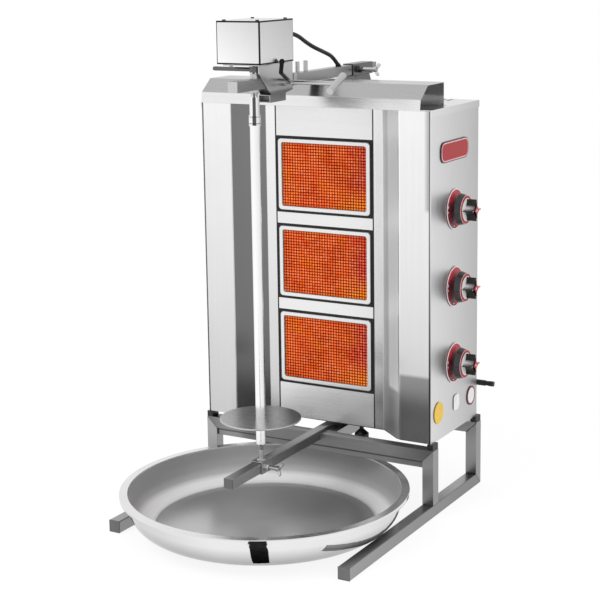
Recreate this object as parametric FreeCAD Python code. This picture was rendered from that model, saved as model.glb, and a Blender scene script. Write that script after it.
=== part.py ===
import FreeCAD, Part
import math
import os
from FreeCAD import Vector

# Gas doner kebab grill: three radiant burners in a sheet steel cabinet on a tube frame,
# a motor on an arm above, an upright skewer with a meat disc, and a round drip pan.
# Millimetres. X to the right, Y to the back, Z up. Y = 0 is the front of the cabinet.

# Base frame, of square tube
frame_tube = 23.0
tube_wall = 1.5
frame_width = 504.0
frame_depth = 226.0
frame_height = 131.0
rail_reach = 338.0
sub_bar_height = 14.0
sub_bar_setback = 4.0
plug_lip = 1.5
plug_depth = 12.0

# Arms, of smaller square tube, and the sleeves that slide on them
arm_tube = 19.0
arm_wall = 1.5
arm_rise = 6.0
lower_arm_reach = 319.0
upper_arm_lift = 56.5
upper_arm_front = -275.0
upper_arm_rear = 250.0
sleeve_gap = 0.4
sleeve_wall = 1.6
sleeve_front = 149.0
sleeve_rear = 232.0
stand_base_width = 64.0
stand_front = 154.0
stand_rear = 216.0
stand_flange = 8.0
stop_collar_y = -85.0
stop_collar_length = 12.0
stop_collar_wall = 1.8
stud_radius = 4.2
stud_height = 20.0
stud_places = (-51.3, -20.6)

# Cabinet, of folded sheet
sheet = 1.2
cabinet_width = 495.0
cabinet_depth = 218.0
cabinet_height = 628.0
cabinet_lift = 11.0
lid_skirt = 13.0
side_flange = 14.0
side_flange_setback = 6.0
wing_gap = 4.0
wing_front_width = 61.0
recess_depth = 45.0
recess_half_width = 127.0
window_half_width = 107.0
foot_width = 12.0
centre_foot_x = 70.0
centre_foot_y = 60.0
centre_foot_radius = 14.0
centre_foot_height = 26.0
vent_count = 28
vent_pitch = 14.5
vent_width = 6.0
vent_length = 28.0
vent_rear_margin = 8.0

# Canopy over the cabinet's front edge
canopy_half_width = 233.5
canopy_lip_y = -20.0
canopy_fold_y = -17.0
canopy_lip_height = 20.0
canopy_top_front = 14.0
canopy_top_rear = 85.0
canopy_height = 44.5
canopy_foot = 10.0

# Burners
burner_count = 3
burner_pitch = 172.0
burner_raise = 2.0
burner_width = 200.0
burner_height = 140.0
burner_border = 8.0
burner_corner = 7.0
frame_front = 3.0
frame_thickness = 4.4
tile_gap = 0.4
tile_thickness = 13.0
panel_gap = 5.0
blank_half_width = 104.5
carrier_thickness = 1.5
plenum_depth = 34.0
plenum_wall = 1.5
mixer_radius = 13.0
mixer_length = 82.0

# Gas side: valves behind the right panel, their knobs outside it
knob_count = 3
knob_pitch = 149.0
knob_drop = 30.0
knob_y = 106.0
bezel_radius = 36.5
bezel_thickness = 2.0
spindle_radius = 4.0
spindle_clearance = 0.4
knob_bore_clearance = 0.05
knob_standoff = 10.5
knob_push = 3.0
skirt_radius = 30.0
skirt_length = 11.5
face_plate_radius = 22.0
face_plate_height = 1.0
grip_length = 21.0
grip_reach = 20.5
grip_waist = 8.5
grip_hollow = 17.0
valve_size = 26.0
valve_length = 34.0
manifold_radius = 7.0
manifold_setback = 68.0
feed_radius = 4.0
probe_radius = 1.5
inlet_lift = 63.0
inlet_standoff = 16.0
inlet_radius = 4.6
inlet_barrel_radius = 5.2
inlet_barrel_length = 11.0
inlet_tip = 275.5

# Motor case on the upper arm
case_half_width = 43.7
case_front = -256.0
case_rear = -141.0
case_lift = 28.0
case_height = 75.0
case_sheet = 1.4
screw_radius = 3.2
screw_head = 1.8
bracket_sheet = 2.5
bracket_rear = -89.0
bracket_toe = -166.0
bracket_drop = 12.0
clamp_box_front = -171.0
clamp_box_rear = -115.0
clamp_box_height = 14.0
switch_y = -236.0
switch_lift = 49.0
switch_width = 12.0
switch_height = 19.0
switch_pin_radius = 1.0
gland_x = 26.0
gland_lift = 47.0
cable_diameter = 7.5
grommet_radius = 4.7
grommet_length = 9.0

# Drive: pinion, gear, shaft, muff and the release handle
skewer_y = -205.0
gear_module = 1.0
gear_teeth = 48
pinion_teeth = 12
gear_width = 8.0
gear_lift = 8.0
hub_radius = 9.0
motor_radius = 19.0
motor_height = 42.0
motor_plate = 3.0
motor_post_radius = 3.0
pinion_shaft_radius = 2.0
shaft_radius = 5.0
shaft_reach = 41.0
fit_gap = 0.05
bush_radius = 7.0
bush_flange = 9.0
bush_flange_height = 5.0
spring_length = 8.0
spring_wire = 1.0
spring_turns = 3
release_lift = 4.0
handle_lift = 16.3
handle_radius = 3.75
handle_length = 85.0
collar_radius = 8.0
collar_height = 10.0
coupler_radius = 8.95
muff_wall = 1.6
muff_overlap = 8.7
muff_length = 17.5
dog_width = 5.0
dog_slack = 1.0

# Skewer, meat disc and lower pivot
skewer_radius = 8.95
skewer_drop = 53.8
skewer_point = 13.0
skewer_tip_lift = 19.0
disc_radius = 74.5
disc_thickness = 3.0
disc_lift = 63.0
disc_hub_radius = 14.0
disc_hub_height = 13.0
pivot_radius = 4.85
pivot_cup = 2.0
slider_front = -223.0
slider_rear = -187.0

# Clamp screw on the motor bracket, and the two wing bolts
clamp_y = -141.0
clamp_rod_radius = 4.0
clamp_boss_radius = 7.0
clamp_boss_length = 18.0
clamp_reach = 130.0
grip_bar_radius = 6.5
grip_bar_length = 57.0
grip_bar_tilt = 24.5
lever_radius = 3.75
bolt_radius = 4.0
upper_bolt_length = 41.0
lower_bolt_length = 31.0
nut_radius = 7.5
nut_height = 9.0
ear_reach = 9.5
ear_radius = 3.2
ear_flare = 3.0
ear_thickness = 3.0
upper_bolt_y = 172.0
lower_bolt_y = -210.0

# Drip pan
pan_rim_radius = 268.0
pan_wall_radius = 254.0
pan_corner_radius = 50.0
pan_depth = 67.0
pan_sheet = 1.5
pan_lip_drop = 7.0
pan_y = -196.0
pan_rest_gap = 0.3

# Places worked out from the sizes above
half_frame = frame_width / 2
rail_inner = half_frame - frame_tube
cabinet_bottom = frame_height + cabinet_lift
cabinet_top = cabinet_bottom + cabinet_height
side_x = cabinet_width / 2 - sheet - 0.1
wing_outer_x = side_x - wing_gap
wing_fold_x = wing_outer_x - wing_front_width
inlet_x = side_x - sheet - 0.2 - valve_length / 2
wing_bottom = cabinet_bottom + sheet + 0.2
wing_top = cabinet_top - sheet - 0.2
lower_arm_top = frame_height + arm_rise
lower_arm_z = lower_arm_top - arm_tube / 2
sleeve_outer = arm_tube + 2 * (sleeve_gap + sleeve_wall)
upper_arm_z = cabinet_top + upper_arm_lift
arm_bottom = upper_arm_z - arm_tube / 2
arm_top = upper_arm_z + arm_tube / 2
case_bottom = arm_top + case_lift
case_top = case_bottom + case_height
switch_z = case_bottom + switch_lift
gland_z = case_bottom + gland_lift
bracket_bottom = arm_bottom - bracket_drop
gear_bottom = case_bottom + case_sheet + gear_lift
gear_distance = gear_module * (gear_teeth + pinion_teeth) / 2
pinion_y = skewer_y + gear_distance
handle_z = arm_top + handle_lift
spring_top = arm_bottom - bush_flange_height
shaft_top = case_bottom + shaft_reach
skewer_top = arm_bottom - skewer_drop
skewer_tip = lower_arm_top + skewer_tip_lift
skewer_cone_base = skewer_tip + skewer_point
pivot_top = skewer_tip + pivot_cup
disc_top = skewer_tip + disc_lift
muff_bottom = skewer_top - muff_overlap
shaft_bottom = skewer_top + 0.3
dog_depth = release_lift - dog_slack
cabinet_middle_z = (cabinet_bottom + cabinet_top) / 2
inlet_z = cabinet_bottom + inlet_lift
inlet_y = cabinet_depth + inlet_standoff
manifold_y = cabinet_depth - manifold_setback
plate_bottom = gear_bottom + gear_width + 6.0
pan_corner_z = frame_tube + math.sqrt(
    pan_corner_radius**2 - (rail_inner - pan_rest_gap - pan_wall_radius + pan_corner_radius) ** 2
)
pan_bottom = pan_corner_z - pan_corner_radius
pan_rim_z = pan_bottom + pan_depth


def block(x0, x1, y0, y1, z0, z1):
    """A box between two corners."""
    return Part.makeBox(x1 - x0, y1 - y0, z1 - z0, Vector(x0, y0, z0))


def rod(radius, start, end):
    """A round bar from one point to another."""
    start = Vector(*start)
    run = Vector(*end) - start
    return Part.makeCylinder(radius, run.Length, start, run)


def pipe(outer, inner, start, end):
    return rod(outer, start, end).cut(rod(inner, start, end))


def prism(points, run):
    """A flat outline pushed along the vector run."""
    corners = [Vector(*p) for p in points]
    face = Part.Face(Part.makePolygon(corners + corners[:1]))
    return face.extrude(Vector(*run))


def square_tube_y(size, wall, x, z, y0, y1):
    """A square tube along Y, centred on x and z."""
    h = size / 2
    b = h - wall
    outer = block(x - h, x + h, y0, y1, z - h, z + h)
    return outer.cut(block(x - b, x + b, y0, y1, z - b, z + b))


def folded(points, thickness):
    """A folded sheet's outline: a line of points and its copy on the left, with mitred corners."""
    offset = []
    count = len(points)
    for i, (px, py) in enumerate(points):
        normals = []
        if i > 0:
            dx, dy = px - points[i - 1][0], py - points[i - 1][1]
            size = math.hypot(dx, dy)
            normals.append((-dy / size, dx / size))
        if i < count - 1:
            dx, dy = points[i + 1][0] - px, points[i + 1][1] - py
            size = math.hypot(dx, dy)
            normals.append((-dy / size, dx / size))
        nx = sum(n[0] for n in normals) / len(normals)
        ny = sum(n[1] for n in normals) / len(normals)
        scale = thickness / (nx * nx + ny * ny)
        offset.append((px + nx * scale, py + ny * scale))
    return points + offset[::-1]


def hexagon_x(radius, x0, x1, y, z):
    """A hexagonal nut along X."""
    points = []
    for i in range(6):
        angle = math.radians(60 * i)
        points.append((x0, y + radius * math.cos(angle), z + radius * math.sin(angle)))
    return prism(points, (x1 - x0, 0, 0))


def mirror_x(shape):
    return shape.mirror(Vector(0, 0, 0), Vector(1, 0, 0))


def rounded_block_y(width, height, radius, y0, y1, z):
    """A plate in the XZ plane, centred on X = 0 and z, with round corners."""
    plate = block(-width / 2, width / 2, y0, y1, z - height / 2, z + height / 2)
    corners = [e for e in plate.Edges if abs(e.tangentAt(e.FirstParameter).y) > 0.9]
    return plate.makeFillet(radius, corners)


# Base frame

def rail(side):
    """A floor rail, mitred into the rear leg, with its bore open at the front."""
    x = side * (half_frame - frame_tube / 2)
    tube = square_tube_y(frame_tube, tube_wall, x, frame_tube / 2, -rail_reach, frame_depth)
    y = frame_depth
    mitre = [(y - frame_tube, frame_tube), (y, 0), (y + 1, 0), (y + 1, frame_tube)]
    return tube.cut(prism([(x - frame_tube, py, pz) for py, pz in mitre], (2 * frame_tube, 0, 0)))


def leg(side, front):
    """An upright tube. Its top is mitred for the beam, and the rear one's foot for the rail."""
    x = side * (half_frame - frame_tube / 2)
    y0 = 0.0 if front else frame_depth - frame_tube
    z0 = frame_tube if front else 0.0
    h, b = frame_tube / 2, frame_tube / 2 - tube_wall
    y = y0 + h
    tube = block(x - h, x + h, y - h, y + h, z0, frame_height)
    tube = tube.cut(block(x - b, x + b, y - b, y + b, z0, frame_height))
    inner = x - side * h
    outer = x + side * h
    top = [(inner, y0 - 1, frame_height - frame_tube), (outer, y0 - 1, frame_height)]
    top.append((outer, y0 - 1, frame_height + 1))
    top.append((inner, y0 - 1, frame_height + 1))
    tube = tube.cut(prism(top, (0, frame_tube + 2, 0)))
    if not front:
        foot = [(x - frame_tube, y0, frame_tube), (x - frame_tube, frame_depth, 0)]
        foot.append((x - frame_tube, frame_depth, -1))
        foot.append((x - frame_tube, y0 - 1, -1))
        foot.append((x - frame_tube, y0 - 1, frame_tube))
        tube = tube.cut(prism(foot, (2 * frame_tube, 0, 0)))
    return tube


def arm_notch(y0):
    h = arm_tube / 2
    return block(-h, h, y0 - 1, y0 + frame_tube + 1, lower_arm_z - h, frame_height + 1)


def beam(y0):
    """A cross tube between two legs, mitred at both ends and notched for the lower arm."""
    h, b = frame_tube / 2, frame_tube / 2 - tube_wall
    y, z = y0 + h, frame_height - h
    tube = block(-half_frame, half_frame, y - h, y + h, z - h, z + h)
    tube = tube.cut(block(-half_frame, half_frame, y - b, y + b, z - b, z + b))
    for side in (-1, 1):
        end = [(side * rail_inner, y0 - 1, frame_height - frame_tube)]
        end.append((side * half_frame, y0 - 1, frame_height))
        end.append((side * (half_frame + 1), y0 - 1, frame_height))
        end.append((side * (half_frame + 1), y0 - 1, frame_height - frame_tube - 1))
        end.append((side * rail_inner, y0 - 1, frame_height - frame_tube - 1))
        tube = tube.cut(prism(end, (0, frame_tube + 2, 0)))
    return tube.cut(arm_notch(y0))


def front_beam():
    """The front beam and the flatter bar welded under it."""
    top = frame_height - frame_tube
    bar = block(-rail_inner, rail_inner, sub_bar_setback, frame_tube - sub_bar_setback,
                top - sub_bar_height, top)
    bore = block(-rail_inner, rail_inner, sub_bar_setback + tube_wall,
                 frame_tube - sub_bar_setback - tube_wall,
                 top - sub_bar_height + tube_wall, top - tube_wall)
    return Part.makeCompound([beam(0.0), bar.cut(bore)])


def arm_carrier():
    """The tube beside the lower arm, between the two beams, that the arm is welded to."""
    x = arm_tube / 2 + frame_tube / 2
    return square_tube_y(frame_tube, tube_wall, x, frame_height - frame_tube / 2,
                         frame_tube, frame_depth - frame_tube)


def lower_arm():
    return square_tube_y(arm_tube, arm_wall, 0, lower_arm_z, -lower_arm_reach, frame_depth)


def tube_plug(size, wall, x, z, y, direction):
    """A plastic end plug, its head against the tube's end and its stem inside."""
    h, b = size / 2, size / 2 - wall - 0.05
    y_head = y + direction * plug_lip
    y_stem = y - direction * plug_depth
    head = block(x - h, x + h, min(y, y_head), max(y, y_head), z - h, z + h)
    stem = block(x - b, x + b, min(y, y_stem), max(y, y_stem), z - b, z + b)
    return head.fuse(stem)


def tube_plugs():
    x = half_frame - frame_tube / 2
    z = frame_tube / 2
    plugs = [tube_plug(frame_tube, tube_wall, s * x, z, -rail_reach, -1) for s in (-1, 1)]
    plugs.append(tube_plug(arm_tube, arm_wall, 0, lower_arm_z, -lower_arm_reach, -1))
    return Part.makeCompound(plugs)


def cabinet_feet():
    """Four spacers at the cabinet's corners and the round foot that hangs under its floor."""
    feet = []
    outer = half_frame - 1.0
    for side in (-1, 1):
        x0, x1 = sorted((side * (outer - foot_width), side * outer))
        for y0 in (0.0, frame_depth - frame_tube):
            feet.append(block(x0, x1, y0, y0 + frame_tube, frame_height, cabinet_bottom))
    r = centre_foot_radius
    x, y = centre_foot_x, centre_foot_y
    pad_z = cabinet_bottom - centre_foot_height
    dome_z = pad_z + centre_foot_height * 0.3
    neck_z = pad_z + centre_foot_height * 0.65
    pad = rod(r, (x, y, pad_z), (x, y, dome_z))
    dome = Part.makeCone(r, r * 0.3, neck_z - dome_z, Vector(x, y, dome_z))
    neck = rod(r * 0.3, (x, y, neck_z), (x, y, cabinet_bottom))
    feet.append(pad.fuse(dome).fuse(neck))
    return Part.makeCompound(feet)


# Cabinet

def side_panel(side):
    """A side sheet with a return along its front edge. The right one is drilled for the spindles."""
    outline = [(side_x - side_flange, side_flange_setback), (side_x, side_flange_setback),
               (side_x, cabinet_depth - sheet - 0.1)]
    # the front edge of the sheet itself stands level with the cabinet's front
    z0, z1 = cabinet_bottom, cabinet_top - sheet - 0.1
    run = (0, 0, z1 - z0)
    flange = prism([(x, y, z0) for x, y in folded(outline, sheet)], run)
    nose = block(side_x - sheet, side_x, 0, side_flange_setback, z0, z1)
    panel = flange.fuse(nose).removeSplitter()
    if side < 0:
        return mirror_x(panel)
    for z in knob_heights():
        panel = panel.cut(rod(spindle_radius + spindle_clearance,
                              (side_x - 5, knob_y, z), (side_x + 5, knob_y, z)))
    return panel


def knob_heights():
    first = cabinet_middle_z - knob_drop + knob_pitch * (knob_count - 1) / 2
    return [first - knob_pitch * i for i in range(knob_count)]


def burner_heights():
    first = cabinet_middle_z + burner_raise + burner_pitch * (burner_count - 1) / 2
    return [first - burner_pitch * i for i in range(burner_count)]


def top_panel():
    """The lid: a sheet with its edges turned down over the sides and the back, and a row of vents."""
    half = cabinet_width / 2
    lid = block(-half, half, 0, cabinet_depth, cabinet_top - lid_skirt, cabinet_top)
    lid = lid.cut(block(-half + sheet, half - sheet, -1, cabinet_depth - sheet,
                        cabinet_top - lid_skirt - 1, cabinet_top - sheet))
    y1 = cabinet_depth - vent_rear_margin
    first = -vent_pitch * (vent_count - 1) / 2
    vents = []
    for i in range(vent_count):
        x = first + vent_pitch * i
        if abs(x) < stand_base_width / 2 + vent_width:
            continue
        vents.append(block(x - vent_width / 2, x + vent_width / 2, y1 - vent_length, y1,
                           cabinet_top - 2 * sheet, cabinet_top + 1))
    return lid.cut(Part.makeCompound(vents))


def bottom_panel():
    """The floor sheet, cut back in front so that its edge follows the wings and the burners."""
    inner = side_x - sheet - 0.1
    floor = block(-inner, inner, side_flange_setback + sheet + 0.1, cabinet_depth - sheet - 0.2,
                  cabinet_bottom, cabinet_bottom + sheet)
    z0 = cabinet_bottom - 1
    recess = [(-wing_fold_x, 0, z0), (-recess_half_width, recess_depth, z0),
              (recess_half_width, recess_depth, z0), (wing_fold_x, 0, z0)]
    return floor.cut(prism(recess, (0, 0, sheet + 2)))


def back_panel():
    """The rear sheet, inside the lid's skirt, with a hole for the gas inlet."""
    y1 = cabinet_depth - sheet - 0.1
    panel = block(-side_x + sheet + 0.1, side_x - sheet - 0.1, y1 - sheet, y1,
                  cabinet_bottom + sheet + 0.1, cabinet_top - sheet - 0.1)
    hole = rod(inlet_radius + 1.5 + spindle_clearance, (inlet_x, y1 - 5, inlet_z), (inlet_x, y1 + 5, inlet_z))
    return panel.cut(hole)


def wing(side):
    """One folded front sheet: rear return, front face, slanted reflector and the strip by the burners."""
    line = [(window_half_width, recess_depth), (recess_half_width, recess_depth), (wing_fold_x, 0),
            (wing_outer_x, 0), (wing_outer_x, side_flange_setback)]
    outline = folded(line, sheet)
    shape = prism([(x, y, wing_bottom) for x, y in outline], (0, 0, wing_top - wing_bottom))
    return shape if side > 0 else mirror_x(shape)


def blank_panels():
    """The plain sheets above, between and below the burners, in the plane of the strips."""
    y0, y1 = recess_depth, recess_depth + sheet
    reach = burner_height / 2 + panel_gap
    heights = burner_heights()
    spans = [(heights[0] + reach, wing_top)]
    spans += [(heights[i + 1] + reach, heights[i] - reach) for i in range(burner_count - 1)]
    spans.append((wing_bottom, heights[-1] - reach))
    panels = [block(-blank_half_width, blank_half_width, y0, y1, z0, z1) for z0, z1 in spans]
    return Part.makeCompound(panels)


# Burners

def burner_frame(z):
    """The pressed rim that holds two ceramic tiles."""
    y0 = recess_depth - frame_front
    y1 = y0 + frame_thickness
    plate = rounded_block_y(burner_width, burner_height, burner_corner, y0, y1, z)
    window = rounded_block_y(burner_width - 2 * burner_border, burner_height - 2 * burner_border,
                             burner_corner - 3.0, y0 - 1, y1 + 1, z)
    rim = plate.cut(window)
    front = [e for e in rim.Edges if abs(e.BoundBox.YMax - y0) < 0.01]
    return rim.makeFillet(min(1.4, frame_thickness * 0.35), front)


def tile_pair(z):
    """Two tiles side by side behind the frame's window."""
    y0 = recess_depth - frame_front + frame_thickness + 0.1
    half_w = burner_width / 2 - burner_border + 2.0
    half_h = burner_height / 2 - burner_border + 2.0
    left = block(-half_w, -tile_gap / 2, y0, y0 + tile_thickness, z - half_h, z + half_h)
    return [left, mirror_x(left)]


def burner_tiles():
    tiles = []
    for z in burner_heights():
        tiles += tile_pair(z)
    return Part.makeCompound(tiles)


def plenum_front():
    return recess_depth - frame_front + frame_thickness + 0.2


def burner_boxes():
    """The black carrier sheet, and behind each pair of tiles a box with its mixing tube."""
    boxes = []
    half_w = burner_width / 2 - burner_border + 4.0
    half_h = burner_height / 2 - burner_border + 4.0
    y0 = recess_depth + sheet + 0.2
    carrier = block(-recess_half_width, recess_half_width, y0, y0 + carrier_thickness,
                    wing_bottom, wing_top)
    tiles_back = plenum_front() + tile_thickness
    y2 = tiles_back + plenum_depth
    for z in burner_heights():
        carrier = carrier.cut(block(-half_w, half_w, y0 - 1, y0 + carrier_thickness + 1,
                                    z - half_h, z + half_h))
        y1 = y0 + carrier_thickness + 0.1
        shell = block(-half_w - plenum_wall, half_w + plenum_wall, y1, y2,
                      z - half_h - plenum_wall, z + half_h + plenum_wall)
        shell = shell.cut(block(-half_w, half_w, y1 - 1, y2 - plenum_wall, z - half_h, z + half_h))
        y_mid = (tiles_back + y2) / 2
        x0 = half_w + plenum_wall
        mixer = rod(mixer_radius, (x0 - 0.5, y_mid, z), (x0 + mixer_length, y_mid, z))
        bore = rod(mixer_radius - plenum_wall, (x0 - plenum_wall - 1, y_mid, z),
                   (x0 + mixer_length + 1, y_mid, z))
        boxes.append(shell.fuse(mixer).cut(bore))
    return Part.makeCompound([carrier] + boxes)


# Gas side

def valve_span():
    x1 = side_x - sheet - 0.2
    return x1 - valve_length, x1


def bent_pipe(radius, path):
    """A pipe through the points of path, with a ball in each corner."""
    pipe_run = rod(radius, path[0], path[1])
    for corner, after in zip(path[1:], path[2:]):
        pipe_run = pipe_run.fuse(Part.makeSphere(radius, Vector(*corner)))
        pipe_run = pipe_run.fuse(rod(radius, corner, after))
    return pipe_run


def gas_valves():
    """A valve body behind each knob, bored for its spindle."""
    x0, x1 = valve_span()
    h = valve_size / 2
    valves = []
    for z in knob_heights():
        body = block(x0, x1, knob_y - h, knob_y + h, z - h, z + h)
        nose = rod(h * 0.8, (x0 - 8, knob_y, z), (x0, knob_y, z))
        bore = rod(spindle_radius + spindle_clearance, (x0 + 4, knob_y, z), (x1 + 1, knob_y, z))
        valves.append(body.fuse(nose).cut(bore))
    return Part.makeCompound(valves)


def gas_pipework():
    """The upright manifold with its inlet run, the feed to each burner and the thin probe leads."""
    x0 = valve_span()[0]
    top = knob_heights()[0] + 20
    y1 = cabinet_depth - 2 * sheet - 0.2
    r = manifold_radius
    main = rod(r, (inlet_x, manifold_y, inlet_z - r), (inlet_x, manifold_y, top))
    main = main.fuse(rod(r * 0.7, (inlet_x, manifold_y, inlet_z), (inlet_x, y1, inlet_z)))
    for z in knob_heights():
        main = main.fuse(rod(feed_radius, (inlet_x, knob_y + valve_size / 2, z), (inlet_x, manifold_y, z)))
    y_mix = plenum_front() + tile_thickness + plenum_depth / 2
    mixer_end = burner_width / 2 - burner_border + 4.0 + plenum_wall + mixer_length
    y_probe = plenum_front() + tile_thickness + plenum_depth + probe_radius + 0.1
    pipes = [main]
    for valve_z, burner_z in zip(knob_heights(), burner_heights()):
        x = mixer_end + 3.0
        feed = [(x0 - 8, knob_y, valve_z), (x, knob_y, valve_z), (x, y_mix, valve_z),
                (x, y_mix, burner_z), (mixer_end - 6, y_mix, burner_z)]
        pipes.append(bent_pipe(feed_radius * 0.6, feed))
        x = x0 - 14
        low = burner_z - burner_height / 2 + burner_border
        high = valve_z - 10
        lead = [(0, y_probe, low), (x, y_probe, low), (x, y_probe, high), (x0, y_probe, high)]
        pipes.append(bent_pipe(probe_radius, lead))
    return Part.makeCompound(pipes)


def gas_inlet():
    """The elbow behind the cabinet with its hose nozzle to the right."""
    y0 = cabinet_depth - 2 * sheet - 0.1
    elbow = rod(inlet_radius + 1.5, (inlet_x, y0, inlet_z), (inlet_x, inlet_y, inlet_z))
    elbow = elbow.fuse(Part.makeSphere(inlet_radius + 1.5, Vector(inlet_x, inlet_y, inlet_z)))
    nozzle = rod(inlet_radius, (inlet_x, inlet_y, inlet_z), (inlet_tip, inlet_y, inlet_z))
    base = hexagon_x(inlet_radius + 1.2, inlet_x + 10, inlet_x + 31, inlet_y, inlet_z)
    end = (inlet_tip, inlet_y, inlet_z)
    barrel = rod(inlet_barrel_radius, (inlet_tip - inlet_barrel_length, inlet_y, inlet_z), end)
    return elbow.fuse(nozzle).fuse(base).fuse(barrel)


def knob_bezels():
    """The round plates on the side panel, one behind each knob."""
    plates = []
    for z in knob_heights():
        plate = rod(bezel_radius, (side_x, knob_y, z), (side_x + bezel_thickness, knob_y, z))
        hole = rod(spindle_radius + spindle_clearance, (side_x - 1, knob_y, z),
                   (side_x + bezel_thickness + 1, knob_y, z))
        plates.append(plate.cut(hole))
    return Part.makeCompound(plates)


def knob_start():
    return side_x + bezel_thickness + knob_standoff


def valve_spindle(z):
    """The spindle from inside the valve to the knob, with room in the valve for its push."""
    x0 = valve_span()[0] + 4 + knob_push + 1
    x1 = knob_start() + skirt_length * 0.8
    return rod(spindle_radius, (x0, knob_y, z), (x1, knob_y, z))


def knob_grip(x0, x1, z):
    """The star that the fingers turn: a square on its corner with four hollow sides."""
    corners = [(x0, knob_y - grip_reach, z), (x0, knob_y, z - grip_reach),
               (x0, knob_y + grip_reach, z), (x0, knob_y, z + grip_reach)]
    star = prism(corners, (x1 - x0, 0, 0))
    out = (grip_waist + grip_hollow) * math.sqrt(0.5)
    for side_y, side_z in ((1, 1), (1, -1), (-1, 1), (-1, -1)):
        y = knob_y + side_y * out
        hollow_z = z + side_z * out
        star = star.cut(rod(grip_hollow, (x0 - 1, y, hollow_z), (x1 + 1, y, hollow_z)))
    return star


def knob(z):
    """A control knob: a round skirt, a plate on its face and the star grip, bored for the spindle."""
    x0 = knob_start()
    x1 = x0 + skirt_length
    skirt = Part.makeCone(skirt_radius, skirt_radius - 3.0, skirt_length,
                          Vector(x0, knob_y, z), Vector(1, 0, 0))
    plate = rod(face_plate_radius, (x1 - 1, knob_y, z), (x1 + face_plate_height, knob_y, z))
    shape = skirt.fuse(plate).fuse(knob_grip(x1, x1 + grip_length, z)).removeSplitter()
    bore = rod(spindle_radius + knob_bore_clearance, (x0 - 1, knob_y, z),
               (x0 + skirt_length * 0.8 + 0.2, knob_y, z))
    return shape.cut(bore)


# Canopy and the sleeve that holds the upper arm

def canopy():
    """A folded sheet open at both ends: lip, slanted front, top, rear wall and foot."""
    top = cabinet_top + canopy_height
    line = [(canopy_lip_y, cabinet_top), (canopy_fold_y, cabinet_top + canopy_lip_height),
            (canopy_top_front, top), (canopy_top_rear, top), (canopy_top_rear, cabinet_top + sheet),
            (canopy_top_rear + canopy_foot, cabinet_top + sheet)]
    outline = folded(line[::-1], sheet)
    start = [(-canopy_half_width, y, z) for y, z in outline]
    return prism(start, (2 * canopy_half_width, 0, 0))


def arm_sleeve():
    """The short tube that the upper arm slides in, its welded nut, and the stand under it."""
    tube = square_tube_y(sleeve_outer, sleeve_wall, 0, upper_arm_z, sleeve_front, sleeve_rear)
    nut_end = sleeve_outer / 2 + nut_height
    nut = hexagon_x(nut_radius, sleeve_outer / 2, nut_end, upper_bolt_y, upper_arm_z)
    hole = rod(bolt_radius + fit_gap, (0, upper_bolt_y, upper_arm_z), (nut_end, upper_bolt_y, upper_arm_z))
    tube = tube.fuse(nut).cut(hole)
    top = upper_arm_z - sleeve_outer / 2
    half_top = sleeve_outer / 2
    half_base = stand_base_width / 2
    fold = half_base - stand_flange
    line = [(-half_base, cabinet_top), (-fold, cabinet_top), (-half_top, top - sheet),
            (half_top, top - sheet), (fold, cabinet_top), (half_base, cabinet_top)]
    outline = [(x, stand_front, z) for x, z in folded(line, sheet)]
    stand = prism(outline, (0, stand_rear - stand_front, 0))
    return Part.makeCompound([tube, stand])


# Upper arm and what is fixed on it

def upper_arm():
    """The arm's tube, drilled for the drive shaft's bush and the cable."""
    tube = square_tube_y(arm_tube, arm_wall, 0, upper_arm_z, upper_arm_front, upper_arm_rear)
    hole = rod(bush_radius + fit_gap, (0, skewer_y, arm_bottom - 1), (0, skewer_y, arm_top + 1))
    return tube.cut(hole).cut(grommet(grommet_radius + 0.05))


def upper_arm_fittings():
    """The plugs at both ends, the stop collar and the two studs on the arm's top."""
    plugs = [tube_plug(arm_tube, arm_wall, 0, upper_arm_z, upper_arm_front, -1),
             tube_plug(arm_tube, arm_wall, 0, upper_arm_z, upper_arm_rear, 1)]
    side = arm_tube + 2 * (fit_gap + stop_collar_wall)
    ring_end = stop_collar_y + stop_collar_length
    ring = square_tube_y(side, stop_collar_wall, 0, upper_arm_z, stop_collar_y, ring_end)
    studs = [rod(stud_radius, (0, y, arm_top), (0, y, arm_top + stud_height)) for y in stud_places]
    return Part.makeCompound(plugs + [ring] + studs)


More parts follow.
